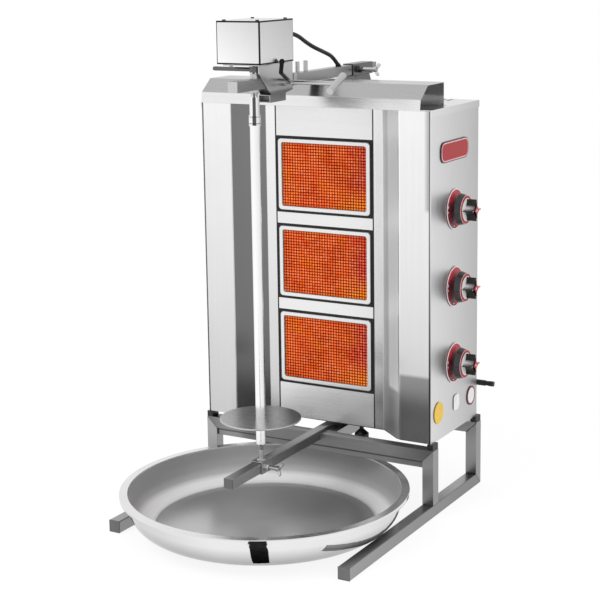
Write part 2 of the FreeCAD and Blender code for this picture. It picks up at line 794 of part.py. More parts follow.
def motor_bracket():
    """Cheeks on both sides of the arm, a seat for the case, a box under the arm, boss and bush."""
    inner = arm_tube / 2 + 0.05
    seat = case_bottom - bracket_sheet
    front = skewer_y - 2.0
    slope_top = arm_top + 8.0
    outline = [(front, seat), (bracket_rear, seat), (bracket_rear, bracket_bottom + 4),
               (clamp_box_rear, bracket_bottom), (bracket_toe, bracket_bottom), (front, slope_top)]
    cheek = prism([(inner, y, z) for y, z in outline], (bracket_sheet, 0, 0))
    behind_bar = skewer_y + handle_radius + 5.0
    w = inner + bracket_sheet
    left = mirror_x(cheek).cut(block(-w - 1, 0, front - 1, behind_bar, bracket_bottom, seat + 1))
    boss_end = w + clamp_boss_length
    boss = rod(clamp_boss_radius, (w, clamp_y, upper_arm_z), (boss_end, clamp_y, upper_arm_z))
    bore_radius = clamp_rod_radius + fit_gap
    bore = rod(bore_radius, (inner - 1, clamp_y, upper_arm_z), (boss_end + 1, clamp_y, upper_arm_z))
    cheek = cheek.fuse(boss).cut(bore)
    half = case_half_width - 8.0
    plate = block(-half, half, case_front + 6, case_rear - 6, seat, case_bottom)
    plate = plate.cut(rod(bush_flange, (0, skewer_y, seat - 1), (0, skewer_y, case_bottom + 1)))
    box = block(-w, w, clamp_box_front, clamp_box_rear, bracket_bottom - clamp_box_height, bracket_bottom)
    t = arm_wall
    box = box.cut(block(-w + t, w - t, clamp_box_front - 1, clamp_box_rear + 1,
                        bracket_bottom - clamp_box_height + t, bracket_bottom - t))
    bush = pipe(bush_radius, shaft_radius + fit_gap, (0, skewer_y, arm_bottom), (0, skewer_y, arm_top))
    flange = pipe(bush_flange, shaft_radius + fit_gap, (0, skewer_y, spring_top), (0, skewer_y, arm_bottom))
    nose_top = handle_z - collar_height / 2 - 2.1
    nose = pipe(bush_radius, shaft_radius + fit_gap, (0, skewer_y, arm_top), (0, skewer_y, nose_top))
    solids = [cheek, left, plate, box, bush.fuse(flange).fuse(nose).removeSplitter()]
    return Part.makeCompound(solids)


def motor_case():
    """The tray of the motor case: floor, front wall and rear wall, with the shaft's thrust seat."""
    half = case_half_width - case_sheet - 0.1
    top = case_top - case_sheet - 0.1
    tray = block(-half, half, case_front, case_rear, case_bottom, top)
    tray = tray.cut(block(-half - 1, half + 1, case_front + case_sheet, case_rear - case_sheet,
                          case_bottom + case_sheet, top + 1))
    seat = rod(hub_radius, (0, skewer_y, case_bottom), (0, skewer_y, gear_bottom - 4.3))
    tray = tray.fuse(seat)
    tray = tray.cut(rod(shaft_radius + 0.3, (0, skewer_y, case_bottom - 1), (0, skewer_y, case_top - 8)))
    cable = rod(gland_bore(), (gland_x, case_rear - 3, gland_z), (gland_x, case_rear + 1, gland_z))
    return tray.cut(cable)


def gland_bore():
    return cable_diameter / 2 + 1.0


def motor_cover():
    """The lid of the motor case: top and both sides, cut out for the switch."""
    half = case_half_width
    lid = block(-half, half, case_front, case_rear, case_bottom, case_top)
    lid = lid.cut(block(-half + case_sheet, half - case_sheet, case_front - 1, case_rear + 1,
                        case_bottom - 1, case_top - case_sheet))
    w, h = switch_width / 2 + 0.3, switch_height / 2 + 0.8
    return lid.cut(block(-half - 1, -half + case_sheet + 1, switch_y - w, switch_y + w,
                         switch_z - h, switch_z + h))


def case_screws():
    """Pan head screws: four in the lid and four under the bracket's plate."""
    screws = []
    for x in (-case_half_width + 10, case_half_width - 10):
        for y in (case_front + 10, case_rear - 10):
            head = rod(screw_radius, (x, y, case_top), (x, y, case_top + screw_head))
            screws.append(head)
    seat = case_bottom - bracket_sheet
    for x in (-case_half_width + 20, case_half_width - 20):
        for y in (case_front + 15, case_rear - 15):
            screws.append(rod(screw_radius, (x, y, seat - screw_head), (x, y, seat)))
    return Part.makeCompound(screws)


def gear_motor():
    """The motor can on its plate, standing on four posts over the gears."""
    z0, z1 = plate_bottom, plate_bottom + motor_plate
    floor = case_bottom + case_sheet
    wheel_radius = gear_module * (gear_teeth / 2 + 1)
    half = wheel_radius + 2 * motor_post_radius
    front = skewer_y - wheel_radius - 4 * motor_post_radius
    rear = pinion_y + motor_radius + motor_post_radius
    plate = block(-half, half, front, rear, z0, z1)
    plate = plate.cut(rod(hub_radius + 1, (0, skewer_y, z0 - 1), (0, skewer_y, z1 + 1)))
    inset = motor_post_radius + 1
    for x in (inset - half, half - inset):
        for y in (front + inset, rear - inset):
            plate = plate.fuse(rod(motor_post_radius, (x, y, floor), (x, y, z0)))
    can = rod(motor_radius, (0, pinion_y, z1), (0, pinion_y, z1 + motor_height))
    motor = plate.fuse(can)
    return motor.cut(rod(pinion_shaft_radius + fit_gap, (0, pinion_y, z0 - 1), (0, pinion_y, z1 + 6)))


def toothed_wheel(teeth, phase, z0, z1):
    """A spur wheel about the Z axis: a root disc with one trapezoid for each tooth."""
    pitch = gear_module * teeth / 2
    root, tip = pitch - 1.2 * gear_module, pitch + 0.9 * gear_module
    wheel = rod(root, (0, 0, z0), (0, 0, z1))
    base, end = 1.0 * gear_module, 0.35 * gear_module
    for i in range(teeth):
        points = [(root - 0.5, -base, z0), (tip, -end, z0), (tip, end, z0), (root - 0.5, base, z0)]
        tooth = prism(points, (0, 0, z1 - z0))
        tooth.rotate(Vector(0, 0, 0), Vector(0, 0, 1), phase + 360.0 * i / teeth)
        wheel = wheel.fuse(tooth)
    return wheel


def drive_gear():
    """The large gear on its hub, bored for the drive shaft."""
    wheel = toothed_wheel(gear_teeth, 90.0, gear_bottom, gear_bottom + gear_width)
    hub = rod(hub_radius, (0, 0, gear_bottom - 4), (0, 0, plate_bottom - 1))
    wheel = wheel.fuse(hub)
    wheel = wheel.cut(rod(shaft_radius + fit_gap, (0, 0, gear_bottom - 10), (0, 0, plate_bottom + 5)))
    wheel.translate(Vector(0, skewer_y, 0))
    return wheel


def motor_pinion():
    wheel = toothed_wheel(pinion_teeth, 270.0 + 180.0 / pinion_teeth, gear_bottom, gear_bottom + gear_width)
    shaft_end = plate_bottom + motor_plate + 5
    wheel = wheel.fuse(rod(pinion_shaft_radius, (0, 0, gear_bottom), (0, 0, shaft_end)))
    wheel.translate(Vector(0, pinion_y, 0))
    return wheel


def cable_glands():
    """The gland on the case's rear wall and the grommet in the arm's top."""
    body = rod(cable_diameter / 2 + 3.0, (gland_x, case_rear, gland_z), (gland_x, case_rear + 6, gland_z))
    cap = Part.makeCone(cable_diameter / 2 + 3.0, cable_diameter / 2 + 1.2, 7.0,
                        Vector(gland_x, case_rear + 6, gland_z), Vector(0, 1, 0))
    return Part.makeCompound([body.fuse(cap), grommet(grommet_radius)])


def grommet(radius):
    """A sleeve through the arm's top wall, in line with the cable's last run."""
    before, end = [Vector(*p) for p in cable_route()[-2:]]
    run = (end - before).normalize()
    return Part.makeCylinder(radius, grommet_length, end, run)


def cable_route():
    """The cable's way from the gland to the grommet, chosen by hand."""
    return [(gland_x, case_rear + 13, gland_z), (gland_x, -104, gland_z), (16.5, -32, 884.5), (7, 42, 867),
            (1, 85, 856), (0, 106, 839.5)]


def motor_cable():
    """The cable as one tube of straight runs joined by tangent arcs."""
    points = [Vector(*p) for p in cable_route()]
    edges = []
    start = points[0]
    for before, corner, after in zip(points, points[1:], points[2:]):
        back, on = before - corner, after - corner
        turn = math.pi - back.getAngle(on)
        reach = 0.45 * min(back.Length, on.Length)
        back.normalize()
        on.normalize()
        first, last = corner + back * reach, corner + on * reach
        radius = reach / math.tan(turn / 2)
        middle_direction = (back + on).normalize()
        centre_distance = math.hypot(radius, reach)
        middle = corner + middle_direction * (centre_distance - radius)
        edges.append(Part.LineSegment(start, first).toShape())
        edges.append(Part.Arc(first, middle, last).toShape())
        print("cable arc radius %.1f" % radius)
        start = last
    edges.append(Part.LineSegment(start, points[-1]).toShape())
    path = Part.Wire(edges)
    section = Part.Wire(Part.makeCircle(cable_diameter / 2, points[0], points[1] - points[0]))
    tube = path.makePipeShell([section], True, False, 1)
    area = math.pi * cable_diameter**2 / 4
    print("cable length %.1f, volume share %.4f" % (path.Length, tube.Volume / (area * path.Length)))
    return tube


# Drive

def drive_shaft():
    """The upright shaft: thin through gear and arm, thick at the coupling, with the driving dog."""
    shoulder = spring_top - spring_length
    thin = rod(shaft_radius, (0, skewer_y, shoulder), (0, skewer_y, shaft_top))
    thick = rod(coupler_radius, (0, skewer_y, shaft_bottom), (0, skewer_y, shoulder))
    h = dog_width / 2
    dog = block(-h, h, skewer_y - coupler_radius, skewer_y + coupler_radius,
                shaft_bottom - dog_depth, shaft_bottom)
    round_end = rod(coupler_radius, (0, skewer_y, shaft_bottom - dog_depth), (0, skewer_y, shaft_bottom))
    dog = dog.common(round_end)
    rings = []
    for z in (handle_z - collar_height / 2 - 1.8, handle_z + collar_height / 2 + 0.3):
        rings.append(rod(collar_radius - 1.0, (0, skewer_y, z), (0, skewer_y, z + 1.5)))
    return thin.fuse(thick).fuse(dog).fuse(rings[0]).fuse(rings[1])


def return_spring():
    """A coil spring between the arm's bush and the shaft's shoulder."""
    radius = shaft_radius + spring_wire / 2 + 0.6
    low = spring_top - spring_length + spring_wire / 2 + 0.1
    height = spring_length - spring_wire - 0.2
    helix = Part.makeHelix(height / spring_turns, height, radius)
    helix.translate(Vector(0, skewer_y, low))
    start = Vector(radius, skewer_y, low)
    section = Part.Wire(Part.makeCircle(spring_wire / 2, start, Vector(0, 1, 0)))
    return Part.Wire(helix.Edges).makePipeShell([section], True, True)


def release_handle():
    """The collar round the shaft and its bar to the left."""
    z0, z1 = handle_z - collar_height / 2, handle_z + collar_height / 2
    collar = rod(collar_radius, (0, skewer_y, z0), (0, skewer_y, z1))
    bar = rod(handle_radius, (-handle_length + handle_radius, skewer_y, handle_z), (0, skewer_y, handle_z))
    end = Part.makeSphere(handle_radius, Vector(-handle_length + handle_radius, skewer_y, handle_z))
    bore = rod(shaft_radius + fit_gap, (0, skewer_y, z0 - 1), (0, skewer_y, z1 + 1))
    return collar.fuse(bar).fuse(end).cut(bore)


def coupling_muff():
    top = muff_bottom + muff_length
    return pipe(coupler_radius + fit_gap + muff_wall, coupler_radius + fit_gap,
                (0, skewer_y, muff_bottom), (0, skewer_y, top))


# Skewer and its lower pivot

def skewer():
    """The upright bar: a slot for the dog at the top and a point at the bottom."""
    bar = rod(skewer_radius, (0, skewer_y, skewer_cone_base), (0, skewer_y, skewer_top))
    tip = Part.makeCone(0, skewer_radius, skewer_cone_base - skewer_tip, Vector(0, skewer_y, skewer_tip))
    h = dog_width / 2 + 0.3
    reach = skewer_radius + 1
    slot = block(-h, h, skewer_y - reach, skewer_y + reach, skewer_top - dog_depth - 0.4, skewer_top + 1)
    ring = rod(skewer_radius + 1.2, (0, skewer_y, muff_bottom - 1.8), (0, skewer_y, muff_bottom - 0.3))
    return bar.fuse(tip).fuse(ring).cut(slot)


def meat_disc():
    """The round plate under the meat, with the hub that pins it to the skewer."""
    base = disc_top - disc_thickness
    disc = rod(disc_radius, (0, skewer_y, base), (0, skewer_y, disc_top))
    edge = [e for e in disc.Edges if e.Length > 6 * disc_radius]
    disc = disc.makeFillet(disc_thickness * 0.3, edge)
    hub = rod(disc_hub_radius, (0, skewer_y, base - disc_hub_height), (0, skewer_y, base))
    bore = rod(skewer_radius + fit_gap, (0, skewer_y, base - disc_hub_height - 1),
               (0, skewer_y, disc_top + 1))
    return disc.fuse(hub).cut(bore)


def lower_slider():
    """The sleeve on the lower arm with its welded nut and the pivot pin."""
    tube = square_tube_y(sleeve_outer, sleeve_wall, 0, lower_arm_z, slider_front, slider_rear)
    x0 = sleeve_outer / 2
    nut_end = x0 + nut_height
    nut = hexagon_x(nut_radius, x0, nut_end, lower_bolt_y, lower_arm_z)
    hole = rod(bolt_radius + fit_gap, (0, lower_bolt_y, lower_arm_z), (nut_end, lower_bolt_y, lower_arm_z))
    top = lower_arm_z + sleeve_outer / 2
    pin = rod(pivot_radius, (0, skewer_y, top - 0.5), (0, skewer_y, pivot_top))
    washer = rod(pivot_radius * 1.7, (0, skewer_y, top - 0.5), (0, skewer_y, top + 2.0))
    depth = pivot_top - skewer_tip + 0.4
    slope = skewer_radius / (skewer_cone_base - skewer_tip)
    cup = Part.makeCone(0, depth * slope, depth, Vector(0, skewer_y, pivot_top - depth))
    return tube.fuse(nut).cut(hole).fuse(pin).fuse(washer).cut(cup)


# Clamp screw and wing bolts

def clamp_screw():
    """The clamp rod with its cross grip at the right and the bent lever near the bracket."""
    x0 = arm_tube / 2 + 0.3
    z = upper_arm_z
    screw = rod(clamp_rod_radius, (x0, clamp_y, z), (clamp_reach, clamp_y, z))
    angle = math.radians(grip_bar_tilt)
    dy = grip_bar_length / 2 * math.cos(angle)
    dz = grip_bar_length / 2 * math.sin(angle)
    grip = rod(grip_bar_radius, (clamp_reach, clamp_y - dy, z - dz), (clamp_reach, clamp_y + dy, z + dz))
    root = Vector(arm_tube / 2 + bracket_sheet + clamp_boss_length + 6, clamp_y, z)
    elbow = root + Vector(12.5, -53.0, 21.0)
    top = elbow + Vector(2.0, 1.0, 19.0)
    lever = rod(lever_radius, tuple(root), tuple(elbow)).fuse(Part.makeSphere(lever_radius, elbow))
    lever = lever.fuse(rod(lever_radius, tuple(elbow), tuple(top)))
    lever = lever.fuse(Part.makeSphere(lever_radius + 1.2, top))
    return screw.fuse(grip).fuse(lever)


def wing_bolt(x0, length, y, z, tilt):
    """A bolt along X with a hub at its head and two ears that lean outwards."""
    x1 = x0 + length
    shape = rod(bolt_radius, (x0, y, z), (x1, y, z))
    shape = shape.fuse(rod(bolt_radius + 1.4, (x1 - 6, y, z), (x1, y, z)))
    h = ear_thickness / 2
    tip_x, tip_z = x1 + ear_flare, z + ear_reach
    for turn in (0.0, 180.0):
        across, along = ear_radius * 0.8, ear_radius * 0.6
        outline = [(x1 - 6, z), (x1, z), (tip_x + across, tip_z - along), (tip_x - across, tip_z + along)]
        web = prism([(px, y - h, pz) for px, pz in outline], (0, ear_thickness, 0))
        ear = web.fuse(rod(ear_radius, (tip_x, y - h, tip_z), (tip_x, y + h, tip_z)))
        ear.rotate(Vector(x1, y, z), Vector(1, 0, 0), tilt + turn)
        shape = shape.fuse(ear)
    return shape


# Drip pan

def pan_profile(shrink, top):
    """Half of the bowl's outline from the axis up to the height top, set in by shrink."""
    r_corner = pan_corner_radius - shrink
    flat = pan_wall_radius - pan_corner_radius
    centre = Vector(flat, 0, pan_corner_z)
    bottom = Vector(flat, 0, pan_corner_z - r_corner)
    side = Vector(flat + r_corner, 0, pan_corner_z)
    diagonal = centre + Vector(r_corner * math.sin(math.pi / 4), 0, -r_corner * math.cos(math.pi / 4))
    start = Vector(0, 0, bottom.z)
    end = Vector(side.x, 0, top)
    return [Part.LineSegment(start, bottom).toShape(), Part.Arc(bottom, diagonal, side).toShape(),
            Part.LineSegment(side, end).toShape()]


def turned(edges):
    """A closed outline in the XZ plane turned about the pan's axis."""
    solid = Part.Face(Part.Wire(edges)).revolve(Vector(0, 0, 0), Vector(0, 0, 1), 360)
    solid.translate(Vector(0, pan_y, 0))
    return solid


def bowl(shrink, top):
    edges = pan_profile(shrink, top)
    rim, foot = edges[2].Vertexes[1].Point, edges[0].Vertexes[0].Point
    centre_top = Vector(0, 0, top)
    edges.append(Part.LineSegment(rim, centre_top).toShape())
    edges.append(Part.LineSegment(centre_top, foot).toShape())
    return turned(edges)


def drip_pan():
    """The spun bowl: flat bottom, round corner, upright wall and a rim turned out and down."""
    shell = bowl(0.0, pan_rim_z).cut(bowl(pan_sheet, pan_rim_z + 1))
    t = pan_sheet
    lip = [(pan_wall_radius - t, pan_rim_z - t), (pan_wall_radius - t, pan_rim_z),
           (pan_rim_radius, pan_rim_z), (pan_rim_radius, pan_rim_z - pan_lip_drop),
           (pan_rim_radius - t, pan_rim_z - pan_lip_drop), (pan_rim_radius - t, pan_rim_z - t)]
    corners = [Vector(x, 0, z) for x, z in lip]
    ring = Part.Face(Part.makePolygon(corners + corners[:1])).revolve(Vector(0, 0, 0), Vector(0, 0, 1), 360)
    outer = [e for e in ring.Edges if e.Length > 6.2 * (pan_rim_radius - 0.01)]
    outer = [e for e in outer if e.BoundBox.ZMin > pan_rim_z - 0.01]
    ring = ring.makeFillet(t * 0.9, outer)
    ring.translate(Vector(0, pan_y, 0))
    return shell.fuse(ring).removeSplitter()


def rocker_switch():
    """The rocker in the cover's left side, held behind the sheet by its pin."""
    x0 = -case_half_width - 1.8
    x1 = -case_half_width + 6.0
    w, h = switch_width / 2, switch_height / 2
    points = [(x1, switch_y - w, switch_z - h + 1.5), (x0 + 1.2, switch_y - w, switch_z - h),
              (x0 + 0.9, switch_y - w, switch_z), (x0, switch_y - w, switch_z + h - 0.5),
              (x1, switch_y - w, switch_z + h - 1.5)]
    rocker = prism(points, (0, switch_width, 0))
    pin_x = switch_pin_x()
    reach = w + 1.5
    pin = rod(switch_pin_radius, (pin_x, switch_y - reach, switch_z), (pin_x, switch_y + reach, switch_z))
    return rocker.fuse(pin)


def switch_pin_x():
    return -case_half_width + case_sheet + switch_pin_radius + 0.1


nodes = {}
for side, word in ((-1, "left"), (1, "right")):
    nodes["rail_" + word] = rail(side)
    nodes["front_leg_" + word] = leg(side, True)
    nodes["rear_leg_" + word] = leg(side, False)
    nodes["side_panel_" + word] = side_panel(side)
    nodes["wing_" + word] = wing(side)
nodes["front_beam"] = front_beam()
nodes["rear_beam"] = beam(frame_depth - frame_tube)
nodes["arm_carrier"] = arm_carrier()
nodes["lower_arm"] = lower_arm()
nodes["tube_plugs"] = tube_plugs()
nodes["cabinet_feet"] = cabinet_feet()
nodes["top_panel"] = top_panel()
nodes["bottom_panel"] = bottom_panel()
nodes["back_panel"] = back_panel()
nodes["blank_panels"] = blank_panels()
for i, z in enumerate(burner_heights()):
    nodes["burner_frame_%d" % (i + 1)] = burner_frame(z)
nodes["burner_tiles"] = burner_tiles()
nodes["burner_boxes"] = burner_boxes()
nodes["gas_pipework"] = gas_pipework()
nodes["gas_valves"] = gas_valves()
nodes["gas_inlet"] = gas_inlet()
nodes["knob_bezels"] = knob_bezels()
for i, z in enumerate(knob_heights()):
    nodes["valve_spindle_%d" % (i + 1)] = valve_spindle(z)
    nodes["knob_%d" % (i + 1)] = knob(z)
nodes["canopy"] = canopy()
nodes["arm_sleeve"] = arm_sleeve()
nodes["upper_arm"] = upper_arm()
nodes["upper_arm_fittings"] = upper_arm_fittings()
nodes["motor_bracket"] = motor_bracket()
nodes["motor_case"] = motor_case()
nodes["motor_cover"] = motor_cover()
nodes["case_screws"] = case_screws()
nodes["gear_motor"] = gear_motor()
nodes["drive_gear"] = drive_gear()
nodes["motor_pinion"] = motor_pinion()
nodes["cable_glands"] = cable_glands()
nodes["motor_cable"] = motor_cable()
nodes["drive_shaft"] = drive_shaft()
nodes["return_spring"] = return_spring()
nodes["release_handle"] = release_handle()
nodes["coupling_muff"] = coupling_muff()
nodes["skewer"] = skewer()
nodes["meat_disc"] = meat_disc()
nodes["lower_slider"] = lower_slider()
nodes["clamp_screw"] = clamp_screw()
bolt_start = arm_tube / 2 + 0.3
nodes["wing_bolt_upper"] = wing_bolt(bolt_start, upper_bolt_length, upper_bolt_y, upper_arm_z, -20.0)
nodes["wing_bolt_lower"] = wing_bolt(bolt_start, lower_bolt_length, lower_bolt_y, lower_arm_z, -35.0)
nodes["drip_pan"] = drip_pan()
nodes["rocker_switch"] = rocker_switch()

# The origin is on the floor, under the middle of the whole machine
solids = [shape for name, shape in nodes.items() if name != "motor_cable"]
whole = Part.makeCompound(solids).optimalBoundingBox(False, False)
origin = Vector((whole.XMin + whole.XMax) / 2, (whole.YMin + whole.YMax) / 2, 0)

os.makedirs("parts", exist_ok=True)
for name, shape in nodes.items():
    shape.translate(origin * -1)
    shape.exportStep("parts/%s.step" % name)
print(len(nodes), "nodes, origin", origin)
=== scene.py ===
import math
import bpy
from mathutils import Matrix, Vector


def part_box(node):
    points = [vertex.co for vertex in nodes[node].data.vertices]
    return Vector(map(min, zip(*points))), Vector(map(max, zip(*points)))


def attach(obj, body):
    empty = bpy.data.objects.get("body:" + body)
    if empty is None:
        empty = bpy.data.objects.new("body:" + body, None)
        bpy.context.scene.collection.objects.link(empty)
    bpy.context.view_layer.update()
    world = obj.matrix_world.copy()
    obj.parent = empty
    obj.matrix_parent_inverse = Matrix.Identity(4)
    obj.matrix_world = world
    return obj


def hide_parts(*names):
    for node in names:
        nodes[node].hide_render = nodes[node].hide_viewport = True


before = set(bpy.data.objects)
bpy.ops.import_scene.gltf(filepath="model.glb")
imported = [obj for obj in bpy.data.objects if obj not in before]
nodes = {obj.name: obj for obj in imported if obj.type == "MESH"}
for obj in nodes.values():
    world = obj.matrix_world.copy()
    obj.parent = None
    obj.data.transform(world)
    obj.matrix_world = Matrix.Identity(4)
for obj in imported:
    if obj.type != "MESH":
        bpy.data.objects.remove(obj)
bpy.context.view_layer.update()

# The camera at the photograph's angle, in the part's own millimetres and degrees
CAMERA_PLACE = (1410.9, -2521.15, 1051.1)
CAMERA_AZIMUTH = 29.73
CAMERA_ELEVATION = 10.53
CAMERA_ROLL = -0.84
CAMERA_LENS = 92.49
CAMERA_SHIFT = -0.1

# The part's own millimetres start at the middle of the lid's front edge, on the floor
lid_low, lid_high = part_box("top_panel")
MIDDLE_X = (lid_low.x + lid_high.x) * 500
FRONT_Y = lid_low.y * 1000


def place(x, y, z):
    """A point in the part's own millimetres, in Blender's metres."""
    return Vector(((x + MIDDLE_X) / 1000, (y + FRONT_Y) / 1000, z / 1000))


def camera():
    """Looks as the photograph does: turned, tipped and rolled a little."""
    a, e, r = (math.radians(x) for x in (CAMERA_AZIMUTH, CAMERA_ELEVATION, CAMERA_ROLL))
    ahead = Vector((-math.sin(a) * math.cos(e), math.cos(a) * math.cos(e), -math.sin(e)))
    level = Vector((math.cos(a), math.sin(a), 0))
    upright = level.cross(ahead)
    right = level * math.cos(r) + upright * math.sin(r)
    up = upright * math.cos(r) - level * math.sin(r)
    data = bpy.data.cameras.new("photo_camera")
    data.lens = CAMERA_LENS
    data.sensor_width = 36
    data.shift_y = CAMERA_SHIFT
    data.clip_end = 50
    cam = bpy.data.objects.new("photo_camera", data)
    bpy.context.scene.collection.objects.link(cam)
    turn = Matrix((right, up, -ahead)).transposed().to_4x4()
    cam.matrix_world = Matrix.Translation(place(*CAMERA_PLACE)) @ turn
    bpy.context.scene.camera = cam


def linked(name, data):
    made = bpy.data.objects.new(name, data)
    bpy.context.scene.collection.objects.link(made)
    return made


def motor_cord():
    """The motor's cable, from the case's gland down into the upper arm."""
    route = [(26, -128, 911), (26, -104, 911), (16.5, -32, 884.5), (7, 42, 867), (1, 85, 856), (0, 106, 839.5)]
    curve = bpy.data.curves.new("motor_cord", "CURVE")
    curve.dimensions = "3D"
    line = curve.splines.new("NURBS")
    line.points.add(len(route) - 1)
    for point, spot in zip(line.points, route):
        point.co = (*place(*spot), 1)
        point.radius = 0.00375
    line.order_u = 3
    line.use_endpoint_u = True
    line.resolution_u = 24
    curve.bevel_depth = 1.0
    curve.bevel_resolution = 6
    curve.use_fill_caps = True
    cord = linked("motor_cord", curve)
    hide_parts("motor_cable")
    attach(cord, "upper_arm")
    return cord


camera()
cord = motor_cord()


# Materials

def shade(level):
    """The linear value of a grey that shows as level, of 255."""
    c = level / 255
    return c / 12.92 if c <= 0.04045 else ((c + 0.055) / 1.055) ** 2.4


def tint(red, green, blue):
    return (shade(red), shade(green), shade(blue), 1)


class Finish:
    """One material and short ways to write its nodes. Places are in the part's own millimetres."""

    def __init__(self, name, metal=0.0, rough=0.5, **fixed):
        self.material = bpy.data.materials.new(name)
        self.material.use_nodes = True
        self.tree = self.material.node_tree
        self.shader = self.tree.nodes["Principled BSDF"]
        self.shader.inputs["Metallic"].default_value = metal
        self.shader.inputs["Roughness"].default_value = rough
        for socket, value in fixed.items():
            self.shader.inputs[socket.replace("_", " ")].default_value = value
        spot = self.tree.nodes.new("ShaderNodeTexCoord")
        self.mm = self.vector("MULTIPLY_ADD", spot.outputs["Object"], (1000, 1000, 1000), (-MIDDLE_X, -FRONT_Y, 0))
        self.facing = spot.outputs["Normal"]
        self.split = {}

    def put(self, socket, value):
        if isinstance(value, bpy.types.NodeSocket):
            self.tree.links.new(value, socket)
        else:
            socket.default_value = value

    def vector(self, kind, *values):
        node = self.tree.nodes.new("ShaderNodeVectorMath")
        node.operation = kind
        for socket, value in zip(node.inputs, values):
            self.put(socket, value)
        return node.outputs["Value" if kind in ("DOT_PRODUCT", "LENGTH") else "Vector"]

    def math(self, kind, *values):
        node = self.tree.nodes.new("ShaderNodeMath")
        node.operation = kind
        for socket, value in zip(node.inputs, values):
            self.put(socket, value)
        return node.outputs[0]

    def axis(self, letter, of=None):
        """One coordinate of the place, or of another vector."""
        of = of or self.mm
        key = of.node.name + of.name
        if key not in self.split:
            node = self.tree.nodes.new("ShaderNodeSeparateXYZ")
            self.put(node.inputs[0], of)
            self.split[key] = node
        return self.split[key].outputs["XYZ".index(letter.upper())]

    def slide(self, value, start, end, low=0.0, high=1.0):
        """low at start, high at end, and straight between."""
        node = self.tree.nodes.new("ShaderNodeMapRange")
        self.put(node.inputs["Value"], value)
        self.put(node.inputs["From Min"], start)
        self.put(node.inputs["From Max"], end)
        self.put(node.inputs["To Min"], low)
        self.put(node.inputs["To Max"], high)
        return node.outputs[0]

    def line(self, value, stops):
        """A broken line through (place, factor) stops."""
        first, last = stops[0][0], stops[-1][0]
        node = self.tree.nodes.new("ShaderNodeValToRGB")
        self.put(node.inputs[0], self.slide(value, first, last))
        marks = node.color_ramp.elements
        while len(marks) < len(stops):
            marks.new(0.5)
        for mark, (at, factor) in zip(marks, stops):
            mark.position = (at - first) / (last - first)
            mark.color = (factor / 2, factor / 2, factor / 2, 1)
        return self.math("MULTIPLY", node.outputs[0], 2.0)

    def turn(self, x, y):
        """Degrees about an upright line, nought towards +x and -90 towards -y."""
        ahead = self.math("SUBTRACT", self.axis("y"), y)
        aside = self.math("SUBTRACT", self.axis("x"), x)
        return self.math("MULTIPLY", self.math("ARCTAN2", ahead, aside), 180 / math.pi)

    def reach(self, x, y):
        """The distance from an upright line."""
        flat = self.vector("MULTIPLY_ADD", self.mm, (1, 1, 0), (-x, -y, 0))
        return self.vector("LENGTH", flat)

    def along(self, what):
        """A place along x, y or z, or ("turn" or "reach", x, y) about an upright line."""
        return self.axis(what) if isinstance(what, str) else getattr(self, what[0])(*what[1:])

    def noise(self, size, detail=2.0, seed=0.0):
        """Noise of about 0 to 1, its grains size millimetres long on each axis."""
        if not isinstance(size, tuple):
            size = (size, size, size)
        spot = self.vector("MULTIPLY_ADD", self.mm, tuple(1 / s for s in size), (seed, seed * 2.3, seed * 3.1))
        node = self.tree.nodes.new("ShaderNodeTexNoise")
        self.put(node.inputs["Vector"], spot)
        node.inputs["Scale"].default_value = 1.0
        node.inputs["Detail"].default_value = detail
        return node.outputs[0]

    def spread(self, source, amount):
        """A factor of one, give or take amount, from noise."""
        return self.slide(source, 0.25, 0.75, 1 - amount, 1 + amount)

    def mix(self, share, low, high, blend="MIX"):
        node = self.tree.nodes.new("ShaderNodeMix")
        node.data_type = "RGBA"
        node.blend_type = blend
        self.put(node.inputs[0], share)
        self.put(node.inputs[6], low)
        self.put(node.inputs[7], high)
        return node.outputs[2]

    def inside(self, box, soft=1.0):
        """One inside a box of (low, high) pairs for x, y and z, None where it is open, and nought outside."""
        share = 1.0
        for letter, pair in zip("xyz", box):
            if pair is None:
                continue
            low, high = pair
            value = self.axis(letter)
            rise = self.slide(value, low - soft / 2, low + soft / 2)
            fall = self.slide(value, high - soft / 2, high + soft / 2, 1.0, 0.0)
            share = self.math("MULTIPLY", share, self.math("MULTIPLY", rise, fall))
        return share

    def bump(self, height, strength=0.1, depth=0.0003):
        node = self.tree.nodes.new("ShaderNodeBump")
        node.inputs["Strength"].default_value = strength
        node.inputs["Distance"].default_value = depth
        self.put(node.inputs["Height"], height)
        self.put(self.shader.inputs["Normal"], node.outputs[0])

    def colour(self, value):
        self.put(self.shader.inputs["Base Color"], value)

    def rough(self, value):
        self.put(self.shader.inputs["Roughness"], value)


# The brushed grain and the wider bands of rolled sheet along each axis, in millimetres
GRAIN = {"x": (260, 0.8, 0.8), "y": (0.8, 260, 0.8), "z": (0.8, 0.8, 260)}
BANDS = {"x": (500, 7, 7), "y": (7, 500, 7), "z": (7, 7, 500)}

# Painted shade: how light steel is painted on faces to -x, +x, -y, +y, -z and +z, and the greys of its kinds
FACE_SHADE = (0.9, 0.95, 1.1, 0.9, 0.7, 1.0)
SHEET, TUBE, BRIGHT, FITTING, DULL, DARK = 215, 155, 240, 185, 100, 60
WHITEST = 250


